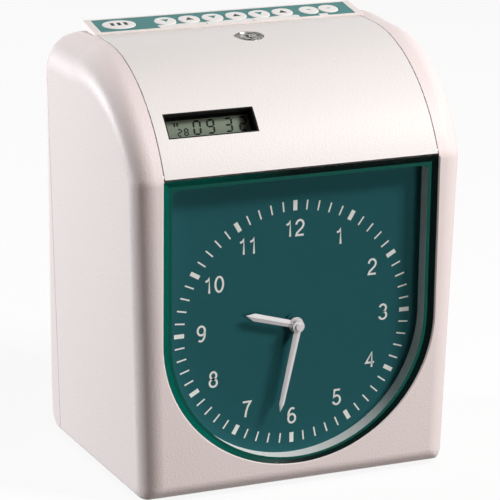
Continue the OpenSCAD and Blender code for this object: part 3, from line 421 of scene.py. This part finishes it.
# Back cover: the rear moulding of the same plastic, closed against the main case at the side seam.
# It has the card slot in its top, four wall fixing holes, the power inlet and four deep screw holes.
deck_end, deck_floor, slot_gap = 60.35, crown - 12, 0.4
card_front, card_back, card_half, card_floor = 62.45, 69.25, 47, 237
inlet_left, inlet_right, inlet_low, inlet_high = 33.8, 60.2, 23.8, 42.2
wall_hole_x, wall_hole_heights, wall_hole_radius = 80, (52, 192), 2.25
screw_head_radius, screw_head_seat = 3.4, 66
inside_back, past_back = 70, 80
rear = form("back_shell", *case_form(0, 10))
carve(rear, block((-past_side, -past_side, past_floor), (past_side, seam + seam_gap, past_top)))
carve(rear, case_form(wall, 4))
add_screw_bosses(rear, seam + seam_gap, back - wall / 2)
carve(rear, block((-opening, 0, deck_floor), (opening, deck_end + slot_gap, past_top)))
carve(rear, block((-card_half, card_front - slot_gap, card_floor),
                  (card_half, card_back + slot_gap, past_top)))
carve(rear, block((inlet_left, inside_back, inlet_low), (inlet_right, past_back, inlet_high)))
for hand in (-1, 1):
    for z in wall_hole_heights:
        carve(rear, round_bar((hand * wall_hole_x, z), wall_hole_radius, inside_back, past_back,
                              facing_front, 28))
    for z in screw_heights:
        carve(rear, round_bar((hand * screw_x, z), screw_head_radius, screw_head_seat, past_back,
                              facing_front, 32))
dress(rear, case_plastic, "case", 0.3, ["back_cover"])

# Feet and case screws: moulded rubber buttons in seats of the floor, and zinc-plated cross-head screws.
# The screws pass through the back cover into the bosses of the main case.
foot_rubber = moulded("foot_rubber", (0.018, 0.018, 0.018), (0.03, 0.03, 0.03), 0.8, 700, 0.12)
zinc_plate = moulded("zinc_plate", (0.38, 0.38, 0.39), (0.47, 0.47, 0.49), 0.42, 400, 0.03, 1.0, 60)


def refinish(names, finish):
    for name in names:
        cad = nodes[name]
        cad.data.materials.clear()
        cad.data.materials.append(finish)


refinish(["rubber_feet"], foot_rubber)
refinish(["case_screws", "hinge_pins"], zinc_plate)

# Front cover: a curved white moulding that hangs between the cheeks on two pins at its lower edge.
# A bead behind that edge takes the pins, the display window is cut through the panel, and a boss under
# the top has the round seat and bore of the lock.
cover_half, cover_thick, cover_end = 85.3, 3.0, 38.0
lip_low, bead_radius, pin_seat = hinge_z - 1.2, 1.5, 1.25
rib_deep, rib_wide = 7, 2
panel_band = curve_band(0, cover_thick, lip_low, cover_end)
cover = form("cover_panel", *prism(panel_band, -cover_half, cover_half, seen_from_side))
carve(cover, round_bar((hinge_y, hinge_z), bead_radius, -cover_half, cover_half, seen_from_side), "UNION")
window_half, window_tall, window_x, window_angle = 27.7, 16.5, -50.6, math.radians(46.7)


def on_curve(angle):
    def place(x, y, z):
        reach = curve_radius + z
        return (x, curve_y + y * math.cos(angle) - reach * math.sin(angle),
                curve_z + y * math.sin(angle) + reach * math.cos(angle))
    return place


def moved(shape, place):
    return [place(*p) for p in shape[0]], shape[1]


def window_block(half, tall, low, high):
    near, far = (window_x - half, -tall / 2, low), (window_x + half, tall / 2, high)
    return moved(block(near, far), on_curve(window_angle))


under_panel, over_panel = -12, 8
carve(cover, window_block(window_half, window_tall, under_panel, over_panel))
lock_place = on_curve(math.radians(5))
lock_boss, boss_low, boss_high = 11.6, -6, -1.5
lock_seat, seat_floor, lock_bore = 9.25, -1.8, 7.8
carve(cover, round_bar((0, 0), lock_boss, boss_low, boss_high, lock_place, 64), "UNION")
for radius, low in ((lock_seat, seat_floor), (lock_bore, under_panel)):
    carve(cover, round_bar((0, 0), radius, low, over_panel, lock_place, 64))
rib_band = curve_band(cover_thick - 0.05, rib_deep, hinge_z, cover_end)
for hand in (-1, 1):
    carve(cover, prism(rib_band, hand * (cover_half - rib_wide), hand * cover_half, seen_from_side), "UNION")
    carve(cover, round_bar((hinge_y, hinge_z), pin_seat, hand * (cover_half - 8), hand * (cover_half + 1),
                           seen_from_side))
cover_plastic = moulded("cover_plastic", (0.8, 0.79, 0.782), (0.83, 0.82, 0.812), 0.46, 900, 0.45,
                        shine=0.3)
dress(cover, cover_plastic, "front_cover", 0.3, ["front_cover"])

# Dial lens: a flat pane of clear acrylic let into the front, with a green border printed behind it.
# Its edge slopes in towards the back. The slope's colour is painted light and shade: green at the left, where
# light comes through the pane, fading to nearly black towards the middle and across the right, where the edge
# lies in shadow.
lens_front, lens_back, edge_slope = -74.5, -72.6, 3.5
outside, inside_top = opening - 0.1, lens_top - edge_slope
inside, edge_floor = outside - edge_slope, lens_back + 0.08


def joined_rings(rings):
    count = len(rings[0])
    faces = []
    for k in range(len(rings)):
        first, second = k * count, (k + 1) % len(rings) * count
        for i in range(count):
            j = (i + 1) % count
            faces.append((first + i, first + j, second + j, second + i))
    return [spot for ring in rings for spot in ring], faces


edge_rings = [u_ring(outside, lens_top, lens_front), u_ring(outside, lens_top, edge_floor),
              u_ring(inside, inside_top, edge_floor), u_ring(inside, inside_top, lens_back)]
lens_edge = form("lens_edge", *joined_rings(edge_rings))
edge_green_painted_shade = moulded("edge_green_painted_shade", (0.0, 0.115, 0.088), (0.003, 0.012, 0.011), 0.3, 500, 0.02, shine=0.03)


def shade_between(finish, source, low, high):
    tree = finish.node_tree
    fade = tree.nodes.new("ShaderNodeMapRange")
    fade.inputs["From Min"].default_value = low
    fade.inputs["From Max"].default_value = high
    tree.links.new(source, fade.inputs["Value"])
    tree.links.new(fade.outputs["Result"], tree.nodes["Mix"].inputs[0])


# Painted shade: the slope's colour is set by its place from left to right, green at the left and nearly black
# towards the right, standing in for the light and shadow on the edge.
tree = edge_green_painted_shade.node_tree
across = tree.nodes.new("ShaderNodeSeparateXYZ")
tree.links.new(tree.nodes["Texture Coordinate"].outputs["Object"], across.inputs[0])
shade_between(edge_green_painted_shade, across.outputs["X"], -60 * mm, -5 * mm)
dress(lens_edge, edge_green_painted_shade, "case")


def clear_pane(name, tint, falloff=5.0):
    finish = bpy.data.materials.new(name)
    finish.use_nodes = True
    tree = finish.node_tree
    tree.nodes.remove(tree.nodes["Principled BSDF"])
    through = tree.nodes.new("ShaderNodeBsdfTransparent")
    through.inputs["Color"].default_value = (*tint, 1)
    mirror = tree.nodes.new("ShaderNodeBsdfGlossy")
    mirror.inputs["Roughness"].default_value = 0.03
    tilt = tree.nodes.new("ShaderNodeLayerWeight")
    tilt.inputs["Blend"].default_value = 0.5
    where = tree.nodes.new("ShaderNodeTexCoord")
    ripple = tree.nodes.new("ShaderNodeTexNoise")
    ripple.inputs["Scale"].default_value = 40
    bump = tree.nodes.new("ShaderNodeBump")
    bump.inputs["Strength"].default_value = 0.01
    bump.inputs["Distance"].default_value = 0.0005
    tree.links.new(where.outputs["Object"], ripple.inputs["Vector"])
    tree.links.new(ripple.outputs["Fac"], bump.inputs["Height"])
    tree.links.new(bump.outputs["Normal"], mirror.inputs["Normal"])
    mirror_share = calculated(tree, "POWER", tilt.outputs["Facing"], falloff)
    surface = mixed(tree, mirror_share, through.outputs[0], mirror.outputs[0])
    tree.links.new(surface, tree.nodes["Material Output"].inputs["Surface"])
    return finish


pane = form("lens_pane", *stacked([u_ring(outside - 0.1, lens_top - 0.1, lens_front),
                                   u_ring(inside - 0.1, inside_top - 0.1, lens_back - 0.1)]))
lens_clear = clear_pane("lens_clear", (0.96, 0.975, 0.97))
dress(pane, lens_clear, "case", 0.0, ["dial_lens"])
border_half, border_top, corner_radius = 80.4, lens_top - 5.6, 4
corner_centre = (border_half - corner_radius, border_top - corner_radius)
corner = [swept(corner_centre, corner_radius, math.radians(turn)) for turn in range(90, -1, -15)]
border = form("lens_border", *prism(u_shape(inside + 0.05, inside_top + 0.05), lens_back - 0.03,
                                    lens_back + 0.07, facing_front))
clear_area = corner + u_shape(border_half, border_top)[1:-1] + [(-x, z) for x, z in corner[::-1]]
carve(border, prism(clear_area, past_lens, past_dial, facing_front))
border_print = moulded("border_print", (0.0, 0.085, 0.066), (0.0, 0.096, 0.075), 0.4, 500, 0.02, shine=0.12)
dress(border, border_print, "case")

# Dial: a thin sheet screen-printed in dark sea green, held between the recess and the inner frame.
# Hour blocks, minute strokes and numbers are printed on it in white.
dial_face, dial_back, dial_half, bush_hole = -62.5, -61.3, 85.6, 4.1
sheet = form("dial_sheet", *prism(u_shape(dial_half, lens_top - 0.1), dial_face, dial_back, facing_front))
carve(sheet, round_bar((0, dial_height), bush_hole, past_lens, past_dial, facing_front))
dial_green = moulded("dial_green", (0.019, 0.107, 0.124), (0.021, 0.117, 0.135), 0.6, 1600, 0.05,
                     shine=0.06)
dress(sheet, dial_green, "case", 0.0, ["dial_plate"])
print_white = moulded("print_white", (0.88, 0.88, 0.87), (0.92, 0.92, 0.91), 0.55, 900, 0.02)
stroke_ring, hour_stroke, minute_stroke, stroke_thick = 72.0, (1.3, 3.1), (0.45, 3.0), 0.06


def gathered(shapes):
    points, faces = [], []
    for spots, sides in shapes:
        start = len(points)
        points += spots
        faces += [tuple(start + i for i in side) for side in sides]
    return points, faces


def round_the_dial(angle):
    def place(u, v, w):
        out_way = stroke_ring + v
        return (out_way * math.cos(angle) + u * math.sin(angle), dial_face - w - 0.01,
                dial_height + out_way * math.sin(angle) - u * math.cos(angle))
    return place


strokes = []
for minute in range(60):
    wide, tall = minute_stroke if minute % 5 else hour_stroke
    stroke = block((-wide, -tall, 0), (wide, tall, stroke_thick))
    strokes.append(moved(stroke, round_the_dial(math.radians(90 - 6 * minute))))
dress(form("dial_strokes", *gathered(strokes)), print_white, "case")


def bend(x, y, wide, tall, first, last):
    steps = max(4, round(abs(last - first) / 12))
    angles = [math.radians(first + (last - first) * i / steps) for i in range(steps + 1)]
    return [(x + wide * math.cos(angle), y + tall * math.sin(angle)) for angle in angles]


NUMBER_STROKES = {
    "0": [bend(0.28, 0.5, 0.24, 0.455, 90, 450)],
    "1": [[(0.06, 0.74), (0.17, 0.765), (0.25, 0.83), (0.3, 0.98), (0.3, 0)]],
    "2": [bend(0.275, 0.70, 0.225, 0.255, 180, -20)
          + [(0.43, 0.5), (0.26, 0.34), (0.1, 0.19), (0.05, 0.045), (0.52, 0.045)]],
    "3": [bend(0.265, 0.735, 0.205, 0.22, 165, -90), bend(0.265, 0.28, 0.235, 0.235, 90, -165)],
    "4": [[(0.4, 0), (0.4, 0.95), (0.03, 0.29), (0.56, 0.29)]],
    "5": [[(0.48, 0.955), (0.13, 0.955), (0.075, 0.5)] + bend(0.265, 0.325, 0.235, 0.28, 130, -160)],
    "6": [bend(0.28, 0.315, 0.225, 0.27, -180, 180), bend(0.305, 0.48, 0.25, 0.475, 180, 60)],
    "7": [[(0.03, 0.955), (0.52, 0.955), (0.36, 0.68), (0.25, 0.36), (0.2, 0)]],
    "8": [bend(0.275, 0.735, 0.19, 0.22, -90, 270), bend(0.275, 0.28, 0.23, 0.235, 90, 450)],
    "9": [bend(0.28, 0.685, 0.225, 0.27, 0, 360), bend(0.255, 0.52, 0.25, 0.475, 0, -120)]}


def ribbon(line, width):
    left, right = [], []
    closed = math.dist(line[0], line[-1]) < 1e-6
    for i, spot in enumerate(line):
        if closed and i in (0, len(line) - 1):
            before, after = line[-2], line[1]
        else:
            before, after = line[max(i - 1, 0)], line[min(i + 1, len(line) - 1)]
        ways = []
        for start, end in ((before, spot), (spot, after)):
            size = math.dist(start, end)
            if size:
                ways.append(((start[1] - end[1]) / size, (end[0] - start[0]) / size))
        across = [sum(w[k] for w in ways) / len(ways) for k in (0, 1)]
        reach = width / 2 / max(across[0] ** 2 + across[1] ** 2, 0.25)
        left.append((spot[0] + across[0] * reach, spot[1] + across[1] * reach))
        right.append((spot[0] - across[0] * reach, spot[1] - across[1] * reach))
    return [[left[i], left[i + 1], right[i + 1], right[i]] for i in range(len(line) - 1)]


number_tall, number_ring, number_stroke = 10.0, 58.2, 0.125
digit_wide, digit_step = 0.56, 0.64
open_box = [(4, 5, 6, 7)] + [(i, (i + 1) % 4, 4 + (i + 1) % 4, 4 + i) for i in range(4)]
numbers = []
for hour in range(1, 13):
    angle = math.radians(90 - 30 * hour)
    digits = str(hour)
    row = digit_wide + digit_step * (len(digits) - 1)
    left = number_ring * math.cos(angle) - number_tall * row / 2
    low = dial_height + number_ring * math.sin(angle) - number_tall / 2
    for position, digit in enumerate(digits):
        for stroke in NUMBER_STROKES[digit]:
            for quad in ribbon(stroke, number_stroke):
                spots = [(left + number_tall * (digit_step * position + u), dial_face - layer,
                          low + number_tall * v) for layer in (0.02, 0.06) for u, v in quad]
                numbers.append((spots, open_box))
dress(form("dial_numbers", *gathered(numbers)), print_white, "case")

# Hands: pressed aluminium painted white, with a ridge along the middle and a round boss.
# The hour hand is pressed on its pipe, the minute hand on the arbor, and a small nut closes them.
hand_paint = moulded("hand_paint", (0.86, 0.81, 0.86), (0.9, 0.85, 0.9), 0.38, 900, 0.02)
hand_thick, hand_ridge, shown_hour = 0.7, 0.5, 9.533


def hand_form(name, length, width, tip_width, point, boss, face, angle):
    shoulder = length - point
    line = [(-width / 2, 0), (-tip_width / 2, shoulder), (0, length), (tip_width / 2, shoulder),
            (width / 2, 0)]
    middle = [(0, 0), (0, length - point * 0.8)]
    points = [(u, v, hand_thick) for u, v in line] + [(u, v, 0.25 * hand_ridge) for u, v in line]
    points += [(u, v, -hand_ridge) for u, v in middle]
    faces = [(0, 1, 2, 3, 4), (0, 5, 6, 1), (1, 6, 7, 2), (2, 7, 8, 3), (3, 8, 9, 4), (4, 9, 10, 5, 0),
             (5, 10, 11, 6), (6, 11, 7), (7, 11, 8), (8, 11, 10, 9)]
    turn = math.radians(angle)

    def place(u, v, w):
        along, rise = u * math.cos(turn) + v * math.sin(turn), v * math.cos(turn) - u * math.sin(turn)
        return along, face + w, dial_height + rise

    piece = form(name, [place(*p) for p in points], faces)
    return carve(piece, round_bar((0, 0), boss, -0.5 * hand_ridge, hand_thick, place), "UNION")


hour_pointer = hand_form("hour_pointer", 33, 4.2, 4.7, 5.5, 4.6, -66.7, 30 * shown_hour)
dress(hour_pointer, hand_paint, "hour_hand", 0.12, ["hour_hand"], 12)
minute_pointer = hand_form("minute_pointer", 53, 4.4, 3.2, 5, 3.7, -70.4, 360 * (shown_hour % 1))
dress(minute_pointer, hand_paint, "minute_hand", 0.12, ["minute_hand"], 12)
refinish(["hand_nut"], hand_paint)

# Movement, inner frame and dial gears: black mouldings with brass wheels, hidden behind the dial.
# The movement is held to the dial by a ring nut on its bush, painted like the dial.
works_black = moulded("works_black", (0.012, 0.012, 0.013), (0.02, 0.02, 0.021), 0.5, 900, 0.06)
wheel_brass = moulded("wheel_brass", (0.62, 0.42, 0.15), (0.68, 0.48, 0.2), 0.3, 500, 0.02, 1.0, 80)
arbor_steel = moulded("arbor_steel", (0.5, 0.5, 0.52), (0.58, 0.58, 0.6), 0.25, 500, 0.02, 1.0, 90)
frame_grey = moulded("frame_grey", (0.02, 0.02, 0.022), (0.03, 0.03, 0.032), 0.55, 900, 0.08)
refinish(["movement_case"], works_black)
refinish(["movement_nut"], dial_green)
refinish(["inner_frame"], frame_grey)
refinish(["hour_wheel", "minute_wheel", "feed_pinion", "carriage_pinion"], wheel_brass)
refinish(["minute_arbor", "carriage_rods", "pinch_rollers"], arbor_steel)

# Display: a grey-green liquid-crystal glass in a black frame, set well back behind its window.
# The digits are dark seven-bar figures, with the day in smaller figures at the left.
display_black = moulded("display_black", (0.004, 0.004, 0.004), (0.008, 0.008, 0.008), 0.5, 900, 0.06,
                        shine=0.1)
refinish(["display_frame"], display_black)
glass_half, glass_tall, glass_back, glass_face = 26.9, 15.8, -11, -9
glass = form("display_panel", *window_block(glass_half, glass_tall, glass_back, glass_face))
display_green = moulded("display_green", (0.225, 0.256, 0.205), (0.26, 0.292, 0.235), 0.4, 300, 0.01,
                        0.0, 40, 0.1)
dress(glass, display_green, "case", 0.1, ["display_glass"])
BARS = {"0": "abcdef", "2": "abged", "3": "abgcd", "8": "abcdefg", "9": "abcdfg"}


def bar_digit(figure, left, low, width, tall, thick, lean):
    middle, high, right = low + tall / 2, low + tall, left + width
    gap, half = thick * 0.15, thick / 2
    runs = {"a": (left + gap, high, right - gap, high), "d": (left + gap, low, right - gap, low),
            "g": (left + gap, middle, right - gap, middle), "f": (left, middle + gap, left, high - gap),
            "b": (right, middle + gap, right, high - gap), "e": (left, low + gap, left, middle - gap),
            "c": (right, low + gap, right, middle - gap)}
    shapes = []
    for letter in BARS[figure]:
        x0, y0, x1, y1 = runs[letter]
        if y0 == y1:
            line = [(x0, y0), (x0 + half, y0 + half), (x1 - half, y0 + half),
                    (x1, y0), (x1 - half, y0 - half), (x0 + half, y0 - half)]
        else:
            line = [(x0, y0), (x0 + half, y0 + half), (x0 + half, y1 - half),
                    (x0, y1), (x0 - half, y1 - half), (x0 - half, y0 + half)]
        shapes.append([(x + lean * (y - low), y) for x, y in line])
    return shapes


def bar(x0, y0, x1, y1):
    return [(x0, y0), (x1, y0), (x1, y1), (x0, y1)]


def on_display(x, y, z):
    return on_curve(window_angle)(window_x + x, y, z)


figure_lean, figure_low, figure_high = 0.13, -8.97, -8.92
figures = []
for figure, left in (("0", -7.9), ("9", 0.5), ("3", 11.5), ("2", 20.5)):
    figures += bar_digit(figure, left, -2.0, 3.9, 8.4, 1.2, figure_lean)
for figure, left in (("2", -17.9), ("8", -13.9)):
    figures += bar_digit(figure, left, -2.2, 2.1, 4.3, 0.85, figure_lean)
figures += [bar(x, 4.0, x + 1.1, 6.3) for x in (-19.2, -17.4)]
figure_shapes = [prism(line, figure_low, figure_high, on_display) for line in figures]
crystal_dark = moulded("crystal_dark", (0.008, 0.014, 0.013), (0.014, 0.022, 0.02), 0.4, 300, 0.01,
                       shine=0.1)
dress(form("display_figures", *gathered(figure_shapes)), crystal_dark, "case")
pane_half, pane_tall, pane_thick = 29.7, 20.5, 1.2
under_radius = curve_radius - cover_thick
sag = under_radius - math.sqrt(under_radius ** 2 - (pane_tall / 2) ** 2)
pane_face = -cover_thick - sag
cover_pane = form("window_pane", *window_block(pane_half, pane_tall, pane_face - pane_thick, pane_face))
lining_wall, lining_low, lining_high, lining_inset = 0.8, -3.6, 1, 0.15
lining = form("window_lining", *window_block(window_half, window_tall, lining_low, lining_high))
carve(lining, window_block(window_half - lining_wall, window_tall - 2 * lining_wall, under_panel, over_panel))
over_cover = curve_band(-20, lining_inset, hinge_z, cover_end)
carve(lining, prism(over_cover, -cover_half, cover_half, seen_from_side))
dress(lining, display_black, "front_cover")
window_clear = clear_pane("window_clear", (0.93, 0.95, 0.94))
dress(cover_pane, window_clear, "front_cover", 0.1, ["display_window"])

# Lock: a die-cast barrel and keyed plug, nickel-chrome plated, let into the cover and held by a nut.
# The plug turns the cam under the keeper of the keypad deck.
# Painted reflections: the plating's colour is patched at random between near black and bright metal, standing
# in for the dark reflections and glints of the chrome.
chrome = moulded("lock_chrome_painted_reflections", (0.04, 0.037, 0.034), (0.5, 0.48, 0.46), 0.2, 700, 0.03, 1.0, 420)
shade_between(chrome, chrome.node_tree.nodes["Noise Texture"].outputs["Fac"], 0.36, 0.7)
barrel_profile = [(5.55, -17), (7.7, -17), (7.7, -1.8), (9.1, -1.8), (9.1, -0.9), (8.7, -0.45),
                  (7.9, -0.4), (7.3, -1.2), (5.9, -1.2), (5.55, -0.9)]
plug_radius, plug_low, plug_face = 5.5, -16.8, -0.7
tail_radius, tail_low, tail_high = 4, -19.5, -16
keyway_half, keyway_thick, keyway_floor, keyway_angle = 3.4, 0.8, -5.4, math.radians(103)


def lathed(profile, place, steps=64):
    return joined_rings([[place(*swept((0, 0), radius, math.tau * i / steps), z) for radius, z in profile]
                         for i in range(steps)])


def key_place(x, y, z):
    along, aside = math.cos(keyway_angle), math.sin(keyway_angle)
    return lock_place(x * along - y * aside, x * aside + y * along, z)


def key_slot(ease, low, high):
    half, thick = keyway_half - ease, keyway_thick - ease
    return moved(block((-half, -thick, low), (half, thick, high)), key_place)


barrel = form("lock_ring", *lathed(barrel_profile, lock_place))
dress(barrel, chrome, "front_cover", 0.08, ["lock_barrel"], 25)
plug = form("lock_core", *round_bar((0, 0), plug_radius, plug_low, plug_face, lock_place, 64))
carve(plug, key_slot(0, keyway_floor, over_panel))
carve(plug, round_bar((0, 0), tail_radius, tail_low, tail_high, lock_place), "UNION")
dress(plug, chrome, "lock", 0.15, ["lock_plug"])
# Painted shade: a black block fills the keyway almost to the plug's face, standing in for the shadow deep in
# the slot.
keyway_shade_block = form("keyway_painted_shade", *key_slot(0.05, keyway_floor + 0.1, plug_face - 0.15))
keyway_shade_black = moulded("keyway_shade_black", (0.002, 0.002, 0.002), (0.004, 0.004, 0.004), 0.9, 700, 0.02,
                       shine=0.0)
dress(keyway_shade_block, keyway_shade_black, "lock", 0.05)
refinish(["lock_nut", "lock_cam", "cam_screw"], zinc_plate)

# Keypad deck: a white moulding behind the cover that carries the keypad on a gentle slope.
# A low rim frames the printed film; tabs at its ends lie on the cheeks.
deck_y, deck_z, deck_tilt, deck_long = 38.4, 257.4, math.radians(8.6), 22.2
deck_half, film_half, film_gap, film_inset, film_thick = 87.3, 82.7, 0.1, 1.1, 0.4
rim_high, rim_wide, plate_low, tab_low = 0.6, 1, -2.2, -8
deck_wall, deck_skirt, rear_lip = 2, crown - 7, 2.3
keeper_half, keeper_low = 20, crown - 16


def on_deck(x, y, z):
    return (x, deck_y + y * math.cos(deck_tilt) - z * math.sin(deck_tilt),
            deck_z + y * math.sin(deck_tilt) + z * math.cos(deck_tilt))


def shape_of(piece):
    mesh = piece.data
    return [tuple(v.co / mm) for v in mesh.vertices], [tuple(f.vertices) for f in mesh.polygons]


plate = block((-cover_half, 0, plate_low), (cover_half, deck_long, rim_high))
deck = form("deck_top", *moved(plate, on_deck))
for hand in (-1, 1):
    ends = sorted((hand * (film_half + film_gap), hand * deck_half))
    tab = form("tab", *moved(block((ends[0], 0, tab_low), (ends[1], deck_long, rim_high)), on_deck))
    carve(tab, block((-past_side, -past_side, crown - 60), (past_side, past_side, crown)))
    carve(deck, shape_of(tab), "UNION")
    bpy.data.objects.remove(tab)
front_wall, rear_wall = deck_y + 0.4, deck_end - deck_wall
walls = [(front_wall, front_wall + deck_wall, crown), (rear_wall, deck_end, crown + rear_lip)]
for near, far, high in walls:
    carve(deck, block((-cover_half, near, deck_skirt), (cover_half, far, high)), "UNION")
over_deck = 5
seat_half = film_half + film_gap
film_seat = block((-seat_half, rim_wide, 0), (seat_half, deck_long - rim_wide, over_deck))
carve(deck, moved(film_seat, on_deck))
keys = [("key_wide", -68.2, 20.9, 13.2)]
keys += [("key_%d" % (i + 1), -38.6 + 15.3 * i, 13.4, 12.0) for i in range(6)]
keys += [("key_left", 55.6, 12.4, 12.0), ("key_right", 68.7, 12.4, 12.0)]
key_row, key_roundness = deck_long / 2, 0.92


def oval(x, wide, tall, steps=56):
    line = []
    for i in range(steps):
        c, s = swept((0, 0), 1, math.tau * i / steps)
        line.append((x + wide / 2 * math.copysign(abs(c) ** key_roundness, c),
                     key_row + tall / 2 * math.copysign(abs(s) ** key_roundness, s)))
    return line


def cut_key_holes(piece, room, low):
    for name, x, wide, tall in keys:
        carve(piece, prism(oval(x, wide + room, tall + room), low, over_deck, on_deck))


cut_key_holes(deck, 0.6, -9)
deck_plastic = moulded("deck_plastic", (0.84, 0.79, 0.765), (0.87, 0.82, 0.795), 0.34, 620, 0.5)
dress(deck, deck_plastic, "case", 0.25, ["keypad_deck"])
keeper = form("lock_keeper", *block((-keeper_half, front_wall, keeper_low),
                                    (keeper_half, front_wall + deck_wall, deck_skirt + 0.1)))
dress(keeper, deck_plastic, "case", 0.2)

# Keypad film: sea-green polyester glued inside the deck's rim, with holes for the nine keys.
# White strips are printed along the front of the six keys and between the last two, and a small dark
# stroke behind each of the six.
film_sheet = block((-film_half, film_inset, 0), (film_half, deck_long - film_inset, film_thick))
film = form("keypad_film", *moved(film_sheet, on_deck))
cut_key_holes(film, 0.5, -5)
film_green = moulded("film_green", (0.03, 0.195, 0.19), (0.036, 0.215, 0.208), 0.4, 800, 0.03, shine=0.25)
dress(film, film_green, "case", 0.0, ["keypad_overlay"])


def printed(name, outlines, finish, body, low=0.42, high=0.46):
    marks = [prism(line, low, high, on_deck) for line in outlines]
    return dress(form(name, *gathered(marks)), finish, body)


strips = []
for first_key in (1, 3, 5):
    left, right = keys[first_key][1] - 7.0, keys[first_key + 1][1] + 8.2
    strips.append([(left, 5.6), (left + 0.5, 1.2), (right - 0.1, 1.2), (right, 4.6), (right - 1.8, 5.6)])
strips.append(bar(59.2, 1.3, 65.0, 4.4))
strip_print = printed("film_strips", strips, print_white, "case")
cut_key_holes(strip_print, 0.5, -5)
ink_dark = moulded("ink_dark", (0.012, 0.018, 0.022), (0.02, 0.028, 0.032), 0.5, 600, 0.02, shine=0.2)
ticks = [bar(x - 2.4, 17.5, x + 1.4, 18.3) for name, x, wide, tall in keys[1:7]]
printed("film_ticks", ticks, ink_dark, "case")

# Keys: nine domed caps moulded in white plastic, each on a switch of the board under the deck.
# Plain arrows and bars are printed on them; a foot under each keeps it in the deck.
key_plastic = moulded("key_plastic", (0.86, 0.86, 0.85), (0.9, 0.9, 0.89), 0.35, 900, 0.03)
cap_rings = [(1.0, -2.6), (1.0, 0.55), (0.985, 0.75), (0.95, 0.87), (0.88, 0.95), (0.6, 1.0), (0.3, 1.02)]
foot_half, foot_out, foot_low, foot_high = 4, 0.9, -3.4, -2.4
arrow_half, arrow_base, arrow_tip = 2.6, 1.9, 2.3
mark_low, mark_high = 1.01, 1.05
for number, (name, x, wide, tall) in enumerate(keys):
    rim = oval(x, wide, tall)
    cap = form(name + "_cap", *stacked([
        [on_deck(x + (u - x) * size, key_row + (v - key_row) * size, z) for u, v in rim]
        for size, z in cap_rings]))
    foot_reach = tall / 2 + foot_out
    foot = block((x - foot_half, key_row - foot_reach, foot_low),
                 (x + foot_half, key_row + foot_reach, foot_high))
    carve(cap, moved(foot, on_deck), "UNION")
    dress(cap, key_plastic, name, 0.0, [name])
    if name == "key_wide":
        ink = ink_dark
        marks = [bar(x + d - 1.1, key_row - 2.1, x + d + 1.1, key_row + 2.1) for d in (-4.2, 0, 4.2)]
    elif name in ("key_left", "key_right"):
        ink = film_green
        marks = [bar(x - 1.4, key_row - 0.4, x + 1.4, key_row + 0.4)]
    else:
        ink, way = (film_green, 1) if number % 2 else (ink_dark, -1)
        base_line = key_row + way * arrow_base
        marks = [[(x - arrow_half, base_line), (x + arrow_half, base_line), (x, key_row - way * arrow_tip)]]
    printed(name + "_mark", marks, ink, name, mark_low, mark_high)

# Printer, card path and electronics: zinc-plated sheet chassis with the printing works inside.
# Circuit boards, transformer, cells and motors are fixed to it; they show only when the cover is open.
board_green = moulded("board_green", (0.01, 0.08, 0.03), (0.015, 0.1, 0.04), 0.35, 300, 0.05, 0.0, 120)
motor_can = moulded("motor_can", (0.4, 0.4, 0.42), (0.48, 0.48, 0.5), 0.3, 500, 0.03, 1.0, 60)
core_iron = moulded("core_iron", (0.12, 0.08, 0.05), (0.16, 0.11, 0.07), 0.5, 500, 0.1)
cell_sleeve = moulded("cell_sleeve", (0.015, 0.06, 0.25), (0.02, 0.075, 0.29), 0.3, 500, 0.02)
roller_rubber = moulded("roller_rubber", (0.02, 0.02, 0.022), (0.03, 0.03, 0.032), 0.75, 700, 0.1)
ribbon_ink = moulded("ribbon_ink", (0.01, 0.008, 0.04), (0.016, 0.012, 0.055), 0.8, 1500, 0.2)
refinish(["keypad_board", "main_board"], board_green)
refinish(["chassis", "card_throat", "card_guide_front", "card_guide_rear", "card_stop"], zinc_plate)
refinish(["feed_shaft"], arbor_steel)
refinish(["feed_rollers", "platen"], roller_rubber)
refinish(["feed_motor", "carriage_motor"], motor_can)
refinish(["print_carriage", "print_head", "ribbon_cassette", "power_inlet"], works_black)
refinish(["ink_ribbon"], ribbon_ink)
refinish(["transformer"], core_iron)
refinish(["back_up_cells"], cell_sleeve)
